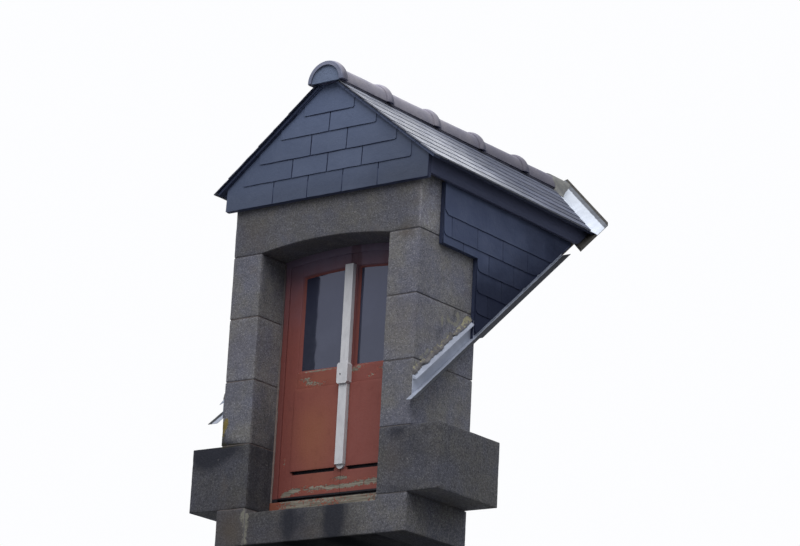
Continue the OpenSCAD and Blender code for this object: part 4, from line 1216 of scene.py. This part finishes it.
COURSES = (1.556, 1.676, 1.779, 1.891, 1.994)
CORNER = 0.010
COURSE_ENDS = (0.636, 0.529, 0.432, 0.302, 0.158)
COURSE_JOINTS = ((-0.331, -0.111, 0.109, 0.329), (-0.436, -0.216, 0.007, 0.224), (-0.323, -0.103, 0.123, 0.343),
                 (-0.213, 0.007, 0.227), ())
HUNG_STEPS = (0, 0.035, 0.3, 0.6, 0.8, 0.86, 0.93, 1.0)
LAID_T, LAID_THINNER, LAID_LENGTH = 0.0032, 0.0002, 1.17
STARTER_T, CLOAK_W = 0.0042, 0.030
LAID_ROWS = (0, 0.05, 0.12, 0.18, 0.45, 0.75, 0.96, 1.0)
LAID_STEPS = (0, 0.04, 0.13, 0.35, 0.65, 0.87, 0.96, 1.0)
HUNG_GAUGE, HUNG_WIDTH = 0.1083, 0.2235
HUNG_TOP, HUNG_JOINT = 1.4232, 0.559


def rounded(past, radius):
    """What a rounded corner takes off the edge: r - sqrt(r^2 - d^2) at a distance d past the corner's centre."""
    return radius - np.sqrt(np.maximum(radius ** 2 - np.maximum(past, 0) ** 2, 0))


def backing(rects, low, high, place, lift, thick, seed):
    """A thin near-black sheet under slates: painted shade in their joints, so that no boards show there."""
    return marked(panels(rects, low, high, place, lift, thick, seed, rim=0.0), back=1.0)


class DORMER_OT_wall_slates(bpy.types.Operator):
    """Hangs the slates of the gable and the cheeks, each one a separate slate"""
    bl_idname = "dormer.wall_slates"
    bl_label = "Wall slates"

    def execute(self, context):
        sizes, colours = context.scene.dormer_sizes, context.scene.dormer_colours
        self.gable(sizes, slate_finish("gable slate", colours.gable_slate, 0.60, 0.30))
        finish = slate_finish("cheek slate", colours.cheek_slate, 0.62, 0.12,
                              fade=(0.20, 0.75, (0.22, 0.23, 0.28), 0.2, 0.2))
        for side, label in SIDES:
            self.cheek(side, label, sizes, finish)
        return {"FINISHED"}

    def gable(self, sizes, finish):
        """Courses that step in below each verge, so the end slate of a course runs up to the verge beside the next."""
        seed, gap, thick = sizes.seed, sizes.slate_gap / 2, 0.0052
        parts = []
        for k, (tail, end) in enumerate(zip(COURSES, COURSE_ENDS)):
            above, inner = (COURSES + (BEYOND,))[k + 1], (COURSE_ENDS + (0.0,))[k + 1]
            gauge, corner, covered = min(above - tail, 0.12), CORNER if k else 0.0, inner - CORNER
            edges = [-end] + [x for x in COURSE_JOINTS[k] if -inner < x < inner] + [end]
            low = lambda u: tail + rounded(np.abs(u) - end + corner, corner)
            high = lambda u: np.where(np.abs(u) < covered - 0.004, np.minimum(above + 0.016, verge_z(u)), verge_z(u))
            lift = lambda u, v: WALL_SLATE - thick * np.clip((v - tail) / gauge, 0, 1.1)
            # Painted shadow along the top of each slate, under the next course's tail.
            under = lambda u, v: ramp(v, above - 0.004, 0.004) * (np.abs(u) < covered)
            for n, (a, b) in enumerate(zip(edges, edges[1:])):
                first, last = n == 0, n == len(edges) - 2
                a, b = a + (0.0005 if first else gap), b - (0.0005 if last else gap)
                wide = b - a
                turn = corner * (1 - np.cos(np.linspace(0.2, 1, 7) * math.pi / 2)) / wide
                s = [0, 0.004 / wide, 0.2, 0.4, 0.6, 0.8, 1 - 0.004 / wide, 1]
                s += list(turn[1:]) * first + list(1 - turn) * last
                s += [(cut - a) / wide + d for cut in (-inner, inner) if a < cut < b for d in (-0.0008, 0, 0.0008)]
                part = panels([(a, b, tail, BEYOND)], low, high, gabled, lift, thick, seed + 40 + 7 * k + n,
                              s=np.unique(np.clip(s, 0, 1)), t=HUNG_STEPS, wobble=0.0009, under=under)
                x, _, z = part[0].T
                # Painted light high on the gable against the shade of the verges; darker low on the right and along the
                # foot.
                lighter = 0.38 * ramp(z, 1.80, 0.28) - 0.22 * ramp(x, 0.15, 0.3) * ramp(z, 1.95, -0.2)
                parts.append(marked(part, lighter=lighter - 0.26 * ramp(z, 1.70, -0.1)))
        wide = 0.212
        starter = [(a + gap, a + wide - gap, GABLE_LOW + 0.0015, GABLE_LOW + 0.09)
                   for a in np.arange(-GABLE_HALF, 0.6, wide)]
        behind = WALL_SLATE - thick - 0.0004
        parts.append(panels(starter, 0.0, verge_z, gabled, behind, thick, seed + 80, wobble=0.0005))
        inset = 0.004
        sheet = [(-GABLE_HALF + inset, GABLE_HALF - inset, GABLE_LOW + inset, BEYOND)]
        parts.append(backing(sheet, 0.0, lambda u: verge_z(u) - inset, gabled, 0.0006, 0.0005, seed + 90))
        make("hung_gable_slates", parts, finish, ("gable_slates",), angle=30)

    def cheek(self, side, label, sizes, finish):
        """Level courses cut along the seat, stepping round the topmost jamb stone, each with a rounded front corner."""
        gap, thick, corner, gauge = 0.0010, 0.0040, 0.028, HUNG_GAUGE
        tails = HUNG_TOP - gauge * np.arange(7)
        parts = []
        for k, tail in enumerate(tails):
            start = CHEEK_FRONT if tail + gauge > CHEEK_STEP_Z + 0.01 else CHEEK_STEP_Y
            joints = HUNG_JOINT - (k % 2) * 0.106 + HUNG_WIDTH * np.arange(-3, 7)
            edges = [start] + list(joints[joints > start + 0.045])
            head = CHEEK_TOP if k == 0 else tail + gauge + 0.016
            rects = [(a + gap, b - gap, tail, head) for a, b in zip(edges, edges[1:])]
            rects[0] = (start + 0.0005, rects[0][1], tail, head + (corner if k else 0))
            s = [0, 0.01, 0.03, 0.07, 0.13, 0.25, 0.5, 0.75, 0.98, 1.0]
            if k == 0:
                rects, s = [(rects[0][0], rects[-1][1], tail, head)], np.linspace(0, 1, 40)
            if tail < CHEEK_STEP_Z:
                start = CHEEK_STEP_Y
                s += [(start - a) / (b - a) + d for a, b, _, _ in rects if a < start < b
                      for d in (-0.002, 0.002, 0.012, 0.03, 0.06, 0.10)]

            def low(u):
                step = np.where(u < CHEEK_STEP_Y, CHEEK_STEP_Z, 0.0)
                return np.maximum(np.maximum(tail + rounded(corner - (u - start), corner), step), seat_z(u) + 0.003)

            lift = lambda u, v: WALL_SLATE - thick * np.clip((v - tail) / gauge, 0, 1.35 if k else 1.0)
            # Painted shadow along the top of each slate, under the next course's tail.
            under = lambda u, v: ramp(v, tail + gauge - 0.003, 0.003) * (u > start + corner) * (k > 0)
            part = panels(rects, low, CHEEK_TOP, cheeked(side), lift, thick, sizes.seed + 100 + 9 * k + side,
                          s=np.unique(s), t=HUNG_STEPS, rim=0.4, wobble=0.0012, under=under)
            parts.append(marked(part, far=0.5 * part[0][:, 1] + 1.4 * np.clip(tails[0] - part[0][:, 2], 0, 1)))
        sheets = [(CHEEK_FRONT + 0.002, CHEEK_STEP_Y, CHEEK_STEP_Z + 0.002, CHEEK_TOP - 0.002),
                  (CHEEK_STEP_Y + 0.0005, 2.0, 0.0, CHEEK_TOP - 0.002)]
        part = backing(sheets, lambda u: seat_z(u) + 0.005, CHEEK_TOP, cheeked(side), 0.0025, 0.0004, sizes.seed + 95)
        parts.append(marked(part, far=0.5 * part[0][:, 1]))
        make(f"hung_{label}_cheek_slates", parts, finish, (f"{label}_cheek_slates",), angle=30)


class DORMER_OT_roof_slates(bpy.types.Operator):
    """Lays the slates of both slopes, cut along the valleys, with a doubled course at the eaves"""
    bl_idname = "dormer.roof_slates"
    bl_label = "Roof slates"

    def execute(self, context):
        sizes, colours = context.scene.dormer_sizes, context.scene.dormer_colours
        # The fade darkens the slates towards the back, painting the sky's sheen falling off there, and roughens them.
        finish = slate_finish("roof slate", colours.roof_slate, 0.27, 0.6,
                              fade=(0.20, 1.10, (0.24, 0.26, 0.34), 0.6, 0.9))
        for side, label in SIDES:
            parts = self.slope(side, sizes.seed, sizes.slate_gauge, sizes.slate_width, sizes.slate_gap / 2)
            make(f"laid_{label}_roof_slates", parts, finish, (f"{label}_roof_slates",), angle=30)
        return {"FINISHED"}

    def slope(self, side, seed, gauge, width, gap):
        """Courses from the eaves up, thinner as they rise, a strip under each verge slate, and the sheet below all."""
        reach, place, verge = EAVE_HALF / COS_D, sloped(side), -VERGE_OUT
        high = lambda u: valley_y(u * COS_D) - VALLEY_BARE
        parts = []
        for k in range(int(reach / gauge) + 1):
            tail, thick = reach - gauge * k, LAID_T - LAID_THINNER * k
            shift = verge - (k % 2) * width / 2
            v = shift + width * np.arange(0, 12)
            rects = [(max(tail - gauge * LAID_LENGTH, 0.004), tail, a + gap, b - gap) for a, b in zip(v, v[1:])]
            lift = lambda u, v: ROOF_SLATE - thick * np.clip((tail - u) / gauge, 0, 1.25)
            # worn sets how strong the painted shadow under each tail is, patchy along the course; it paints no wear.
            worn = lambda v: np.clip(0.45 + 0.9 * noise(np.stack([0 * v + 0.3 * k, v, 0 * v], -1), 0.11, 71), 0.1, 0.9)
            under = lambda u, v: ramp(u, tail - gauge + 0.002, -0.002) * (u > 0.05) * (v > verge + 0.001) * worn(v)
            part = panels(rects, verge, high, place, lift, thick, seed + 200 + 11 * k + side, rim=(0.0, 1.3),
                          s=LAID_ROWS, t=LAID_STEPS, wobble=0.0006, under=under)
            (x, y, _), marks = part[0].T, part[2]
            # near is painted shade next to the ridge, under the tiles.
            near = ramp(np.abs(x), 0.20, -0.08) * ramp(y, 0.05, 0.35)
            beside = np.abs((y - shift) / width - np.round((y - shift) / width)) * width
            rim = np.maximum(marks["rim"], 1.0 - beside / 0.030) * (y > verge + 0.003)
            # far darkens towards the back as painted loss of sheen; lighter carries each slate's tone and the painted
            # shade next to the ridge.
            parts.append(marked(part, rim=rim, far=y + 0.12 * near + 0.02 * (k == 0),
                                lighter=0.16 * marks["tone"] - 0.02 * near))
            cloak = [(max(tail - gauge, 0.004), tail - 0.001, verge + 0.0006, verge + CLOAK_W)]
            part = panels(cloak, verge, high, place, lambda u, v: lift(u, v) - thick - 0.0002, thick,
                          seed + 260 + k, t=(0, 0.5, 1.0), rim=0.0)
            # Painted shade under the verge slates: the left cloak near-black, the right one darker.
            parts.append(marked(part, back=0.0 if side > 0 else 1.0, lighter=-0.35))
        sheet = [(0.010, reach - 0.095, verge + 0.001, 2.4)]
        parts.append(backing(sheet, verge, lambda u: high(u) - 0.002, place, 0.0008, 0.0007, seed + 300 + side))
        v = verge + width * (np.arange(0, 12) - 0.5)
        starter = [(reach - 0.09, reach - 0.0015, a + gap, b - gap) for a, b in zip(v, v[1:])]
        # The starter course is near-black, painted shade under the eave course.
        parts.append(marked(panels(starter, verge, high, place, ROOF_SLATE - 0.0038, STARTER_T, seed + 320 + side,
                                   wobble=0.0005, rim=0.3), back=1.0))
        return parts


# Zinc

class DORMER_OT_zinc(bpy.types.Operator):
    """Weathers the valley sheets and the flashings"""
    bl_idname = "dormer.zinc"
    bl_label = "Zinc work"

    def execute(self, context):
        colours = context.scene.dormer_colours
        coat(zinc_finish("valley zinc", colours.valley_zinc, 0.25, 0.42), "left_valley_zinc", "right_valley_zinc")
        coat(zinc_finish("flashing zinc", colours.flashing_zinc, 0.35, 0.5, covered=OUTER_W + 0.030),
             "left_flashing", "right_flashing")
        return {"FINISHED"}


# Ridge

def collar_y(k):
    """Distance y of the middle of the k-th collar."""
    return -RIDGE_OUT + FIRST_TILE + (k - 1) * TILE_STEP


def roll(y_mid):
    """Stations (y, radius) over a roll: a circle's arc that rises from the collar's edges to its full radius."""
    half = COLLAR_W / 2
    radius = (half ** 2 + ROLL_RISE ** 2) / (2 * ROLL_RISE)
    y = y_mid + half * np.sin(np.linspace(-1, 1, 13) * math.pi / 2)
    return y, COLLAR_R - radius + np.sqrt(radius ** 2 - (y - y_mid) ** 2)


def half_turn(y, outer, inner, seed):
    """A wall between two radii turned half round the tiles' axis: (r cos a, y, axis + r sin a) for a from 0 to pi."""
    angle = np.linspace(0, math.pi, 49)
    out = np.stack([np.cos(angle), 0 * angle, np.sin(angle)], -1)
    grids = [np.stack([r[:, None] * np.cos(angle), y[:, None] + 0 * angle, AXIS_Z + r[:, None] * np.sin(angle)], -1)
             for r in (outer, inner)]
    grids[0] = grids[0] - out * (CLAY_DENT * (1 + rough(grids[0], 0.05, seed, 3)))[..., None]
    return slabs(grids[0][None], grids[1][None])


class DORMER_OT_ridge(bpy.types.Operator):
    """Turns the half-round ridge tiles with their rolled collars, and beds them in mortar"""
    bl_idname = "dormer.ridge"
    bl_label = "Ridge"

    def execute(self, context):
        sizes, colours = context.scene.dormer_sizes, context.scene.dormer_colours
        stop = seat_y(AXIS_Z) - 0.020
        tiles = [self.tile(k, stop, sizes.seed) for k in range(1, TILE_COUNT + 1)]
        make("turned_ridge_tiles", tiles, clay_finish(colours.clay), ("ridge_tiles",), angle=45)
        beds = self.beds(stop, sizes.seed) + [self.cone(stop, sizes.seed)]
        beds += [self.fillet(side, sizes.seed) for side, _ in SIDES]
        make("lime_bedding", beds, mortar_finish(colours.mortar), ("mortar",), angle=60)
        return {"FINISHED"}

    def tile(self, k, stop, seed):
        """A tile that widens from under one collar to its own collar; the first has a collar at both ends."""
        last = k == TILE_COUNT
        y0 = -RIDGE_OUT + COLLAR_W if k == 1 else collar_y(k - 1) + COLLAR_W / 2 - TILE_LAP
        y1 = stop if last else collar_y(k) + COLLAR_W / 2
        end = y1 if last else y1 - COLLAR_W
        y = np.linspace(y0, end, 30)
        outer = SMALL_R + (BIG_R - SMALL_R) * (y - y0) / (end - y0)
        inner = outer - TILE_T
        if k == 1:
            ry, rr = roll(-RIDGE_OUT + COLLAR_W / 2)
            y, outer, inner = (np.concatenate(p) for p in ((ry, y), (rr, outer), (0 * ry + FRONT_BORE, inner)))
        if not last:
            ry, rr = roll(y1 - COLLAR_W / 2)
            bore = np.append(inner[-1], 0 * ry[1:] + COLLAR_BORE)
            y, outer, inner = (np.concatenate(p) for p in ((y, ry), (outer, rr), (inner, bore)))
        points, quads = half_turn(y, outer, inner, seed + 400 + k)
        x, y, z = points.T
        rise = z - AXIS_Z
        # Painted shade: darker low on the sides, just behind each collar, and under the collars.
        grime = 0.55 * ramp(rise, 0.045, -0.045)
        for c in range(TILE_COUNT):
            behind = y - collar_y(c)
            grime = grime + 0.45 * bell(behind, COLLAR_W / 2 + 0.006, 0.012)
            grime = grime + 0.75 * np.clip(1.2 - rise / 0.11, 0, 1) * bell(behind, 0.016, 0.020)
        height = rise / np.maximum(np.hypot(x, rise), 0.01)
        # The front end gets bluish painted shade, the inner faces navy painted shade, and the crest painted light.
        front = (k == 1) * ramp(y, -RIDGE_OUT + 0.012, -0.012)
        hidden = (np.arange(len(points)) >= len(points) // 2) * (1 - front)
        lighter = 0.75 * ramp(height, 0.55, 0.45) - 0.12 * ramp(height, 0.6, -0.4)
        return points, quads, {"grime": grime, "hidden": hidden, "cool": front, "lighter": lighter}

    def beds(self, stop, seed):
        """The plug in the front tile with the fillings behind it, and the beds under the tiles' edges."""
        radius = np.linspace(0.0, 1.0, 14)[:, None] ** 0.7 * (FRONT_BORE - 0.0005)
        angle = np.linspace(0, math.pi, 41)
        x, z = radius * np.cos(angle), AXIS_Z + radius * np.sin(angle)
        bulge = 0.0025 * (rough(np.stack([x, 0 * x, z], -1), 0.04, seed + 500, 3) - 1) * (radius < FRONT_BORE - 0.002)
        # The plug's face is bluish, painted shade.
        parts = [slab((x, -VERGE_OUT - PLUG_T - bulge, z), (x, -VERGE_OUT, z), cool=1.0)]
        for depth, y0, y1 in ((ROOF_SLATE, -VERGE_OUT + 0.0005, -VERGE_OUT + DRIP),
                              (COVER, -VERGE_OUT + DRIP, -BOARD - WALL_SLATE)):
            half = (roof_z(0, depth) - AXIS_Z) / TAN_D
            u, t = np.meshgrid(np.linspace(-half, half, 21), np.linspace(0, 1, 6), indexing="ij")
            z = AXIS_Z + (np.maximum(roof_z(u, depth), AXIS_Z + 0.0005) - AXIS_Z) * t
            # The fillings behind the plug are dark, painted shade.
            parts.append(slab((u, y0, z), (u, y1, z), hidden=0.8))
        deep = 0.020
        for side, _ in SIDES:
            points, quads, out = block((SMALL_R - 0.015, -VERGE_OUT, 0.0), (SMALL_R - 0.0015, stop, deep), 0.003,
                                       (0.004, 0.012, 0.006))
            points = points - out * (LIME_LUMP * (1 + rough(points, 0.035, seed + 510 + side, 3)))[:, None]
            low = roof_z(points[:, 0])
            points[:, 2] = low + points[:, 2] / deep * (AXIS_Z - low)
            # The beds are dark, painted shade in the gap under the tiles' edges.
            parts.append((points * [side, 1, 1], quads, {"hidden": 0.55}))
        return parts

    def fillet(self, side, seed):
        """Mortar thrown on the flashing's upper edge beside a jamb: a lumpy wedge, thick at its foot."""
        yy, a = np.meshgrid(np.linspace(0.002, CHEEK_STEP_Y, 90), np.linspace(0, 1, 9), indexing="ij")
        foot = seat_z(yy) + FILLET_FOOT / COS_S
        grid = np.stack([0 * yy + OUTER_W, yy, foot + FILLET_H * a], -1)
        lump = rough(grid, 0.035, seed + 530 + side, 3)
        reach = FILLET_T * (1 - a ** 1.6) * np.clip(0.52 + lump, 0.08, 1.0)
        ragged = rough(grid * [1, 1, 0], 0.035, seed + 533 + side, 3)
        top = (FILLET_H + 0.0005) * a * np.clip(0.68 + 0.75 * ragged, 0.25, 1.0)
        cream = 0.25 + 0.30 * ramp(a, 0.4, 0.3) + 0.40 * ramp(yy, 0.33, 0.1)
        return slab((side * (OUTER_W + np.maximum(reach, 0.0006)), yy, foot + top),
                    (side * (OUTER_W - 0.004), yy, foot + top * 0.96), cream=np.concatenate([cream.ravel()] * 2))

    def cone(self, stop, seed):
        """Mortar thrown over the last tile's end: a half circle that runs out on both sides to a foot on the slates."""
        radius, low_angle = CONE_R, 0.15
        angle = np.linspace(math.pi / 2, low_angle, 20)
        foot = radius + CONE_OUT
        run = np.linspace(0, 1, 9)[1:]
        side = radius * math.cos(low_angle)
        top, low = AXIS_Z + radius * math.sin(low_angle), roof_z(foot, 0.006)
        x = np.concatenate([radius * np.cos(angle), side + (foot - side) * run ** 1.3])
        z = np.concatenate([AXIS_Z + radius * np.sin(angle), top + (low - top) * run ** 0.8])
        x, z = np.concatenate([-x[:0:-1], x]), np.concatenate([z[:0:-1], z])
        wander = rough(np.stack([x, 0 * x, z], -1), 0.05, seed + 525, 3)
        first = stop - CONE_LAP + 0.020 * wander - 0.02 * ramp(np.abs(x), 0.08, 0.05)
        t = np.linspace(0, 1, 22)[:, None]
        y = first + (seat_y(z, ROOF_SLATE - 0.002) - first) * t
        outer = np.stack([x + 0 * y, y, z + 0 * y], -1)
        out = (outer - [0.0, 0.0, AXIS_Z - 0.02]) * [1, 0, 1]
        out /= np.linalg.norm(out, axis=-1, keepdims=True)
        edge = np.sqrt(np.clip(t / 0.12, 0, 1))
        outer = outer + out * (0.0035 * rough(outer, 0.045, seed + 520, 3) - 0.005 * (1 - edge))[..., None]
        return slabs(outer[None], (outer - out * CONE_T)[None]) + ({"pale": 0.8},)


# Stage

CAMERA_PLACE = (8.493, -10.921, -2.646)
CAMERA_TURN = (36.91, -16.39, -2.96)
SENSOR = 36.0
LENS = 2864 / 800 * SENSOR
LAMP_PLACE, LAMP_AIM = (3.5, -6.0, 8.5), Vector((0, 0.2, 1.2))
LAMP_SIZE, LAMP_POWER, LAMP_COLOUR = 7.0, 620, (1.0, 0.99, 0.97)
FLOOR_HALF, FLOOR_COLOUR = 30.0, (0.82, 0.82, 0.83, 1)
SKY_UP = {"From Min": -0.10, "From Max": 0.50, "To Min": 0.15, "To Max": 1.20}
SKY_COLOUR, SKY_PLAIN = (0.90, 0.95, 1.0), (0.98, 0.985, 1.0)


def rotation_from(azimuth, elevation, roll_angle):
    """The camera's turn: looking at the dormer from an azimuth and elevation, rolled about its own axis."""
    a, e, r = (math.radians(v) for v in (azimuth, elevation, roll_angle))
    back = Vector((math.sin(a) * math.cos(e), -math.cos(a) * math.cos(e), math.sin(e)))
    right = (-back).cross(Vector((0, 0, 1))).normalized()
    down = (-back).cross(right)
    turned_right = math.cos(r) * right + math.sin(r) * down
    turned_down = -math.sin(r) * right + math.cos(r) * down
    return Matrix((turned_right, -turned_down, back)).transposed().to_4x4()


class DORMER_OT_stage(bpy.types.Operator):
    """Sets the floor, the light and the camera"""
    bl_idname = "dormer.stage"
    bl_label = "Stage"

    def execute(self, context):
        scene = context.scene
        self.floor(scene)
        self.sky(scene)
        light = bpy.data.lights.new("key", "AREA")
        light.size, light.energy, light.color = LAMP_SIZE, LAMP_POWER, LAMP_COLOUR
        lamp = bpy.data.objects.new("key", light)
        lamp.location = LAMP_PLACE
        lamp.rotation_euler = (LAMP_AIM - lamp.location).to_track_quat("-Z", "Y").to_euler()
        scene.collection.objects.link(lamp)
        data = bpy.data.cameras.new("view")
        data.sensor_fit, data.sensor_width, data.lens = "HORIZONTAL", SENSOR, LENS
        data.clip_start, data.clip_end = 0.1, 200
        camera = bpy.data.objects.new("view", data)
        camera.matrix_world = Matrix.Translation(CAMERA_PLACE) @ rotation_from(*CAMERA_TURN)
        scene.collection.objects.link(camera)
        scene.camera = camera
        scene.view_settings.view_transform = "Standard"
        return {"FINISHED"}

    def floor(self, scene):
        """A pale floor with a clear underside, so that a view from below sees through it."""
        size = FLOOR_HALF
        mesh = bpy.data.meshes.new("floor")
        mesh.from_pydata([(-size, -size, 0), (size, -size, 0), (size, size, 0), (-size, size, 0)], [], [(0, 1, 2, 3)])
        material = bpy.data.materials.new("floor")
        material.use_nodes = True
        tree = material.node_tree
        shader = tree.nodes["Principled BSDF"]
        shader.inputs["Roughness"].default_value = 0.9
        shader.inputs["Base Color"].default_value = FLOOR_COLOUR
        under = add_node(tree, "NewGeometry", "Backfacing")
        clear = add_node(tree, "BsdfTransparent", 0)
        choice = add_node(tree, "MixShader", 0, {0: under, 1: shader.outputs[0], 2: clear})
        tree.links.new(choice, tree.nodes["Material Output"].inputs["Surface"])
        mesh.materials.append(material)
        floor = bpy.data.objects.new("floor", mesh)
        floor.visible_diffuse = False
        scene.collection.objects.link(floor)

    def sky(self, scene):
        """An overcast studio: bright above, dimmer below, and plain white to the camera and in mirrors and glass."""
        world = bpy.data.worlds.new("studio")
        scene.world = world
        world.use_nodes = True
        tree = world.node_tree
        tree.nodes.clear()
        up = add_node(tree, "SeparateXYZ", "Z", {0: add_node(tree, "TexCoord", "Generated")})
        level = add_node(tree, "MapRange", "Result", {"Value": up, **SKY_UP})
        soft = add_node(tree, "Background", 0, {"Color": SKY_COLOUR, "Strength": level})
        plain = add_node(tree, "Background", 0, {"Color": SKY_PLAIN})
        path = tree.nodes.new("ShaderNodeLightPath")
        seen = path.outputs["Is Camera Ray"]
        for ray in ("Is Glossy Ray", "Is Transmission Ray"):
            seen = add_node(tree, "Math", 0, {0: seen, 1: path.outputs[ray]}, operation="MAXIMUM")
        choice = add_node(tree, "MixShader", 0, {0: seen, 1: soft, 2: plain})
        tree.links.new(choice, tree.nodes.new("ShaderNodeOutputWorld").inputs["Surface"])


OPERATORS = (DORMER_OT_stage, DORMER_OT_granite, DORMER_OT_joinery, DORMER_OT_timber, DORMER_OT_boarding,
             DORMER_OT_wall_slates, DORMER_OT_roof_slates, DORMER_OT_zinc, DORMER_OT_ridge)


class DORMER_PT_panel(bpy.types.Panel):
    """Lists the settings and the pieces"""
    bl_label = "Dormer"
    bl_idname = "DORMER_PT_panel"
    bl_space_type = "VIEW_3D"
    bl_region_type = "UI"
    bl_category = "Dormer"

    def draw(self, context):
        for group in (context.scene.dormer_sizes, context.scene.dormer_colours):
            column = self.layout.column(align=True)
            for name in group.bl_rna.properties.keys():
                if name not in ("rna_type", "name"):
                    column.prop(group, name)
        column = self.layout.column(align=True)
        for operator in OPERATORS:
            column.operator(operator.bl_idname)


CLASSES = (DormerSizes, DormerColours) + OPERATORS + (DORMER_PT_panel,)


def register():
    """Registers the classes and hangs the settings on the scene."""
    for cls in CLASSES:
        bpy.utils.register_class(cls)
    bpy.types.Scene.dormer_sizes = PointerProperty(type=DormerSizes)
    bpy.types.Scene.dormer_colours = PointerProperty(type=DormerColours)


def unregister():
    """Takes the settings and the classes away again."""
    del bpy.types.Scene.dormer_sizes, bpy.types.Scene.dormer_colours
    for cls in reversed(CLASSES):
        bpy.utils.unregister_class(cls)


def main():
    """Registers the add-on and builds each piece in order."""
    register()
    for operator in OPERATORS:
        group, name = operator.bl_idname.split(".")
        getattr(getattr(bpy.ops, group), name)()


if __name__ == "__main__":
    main()
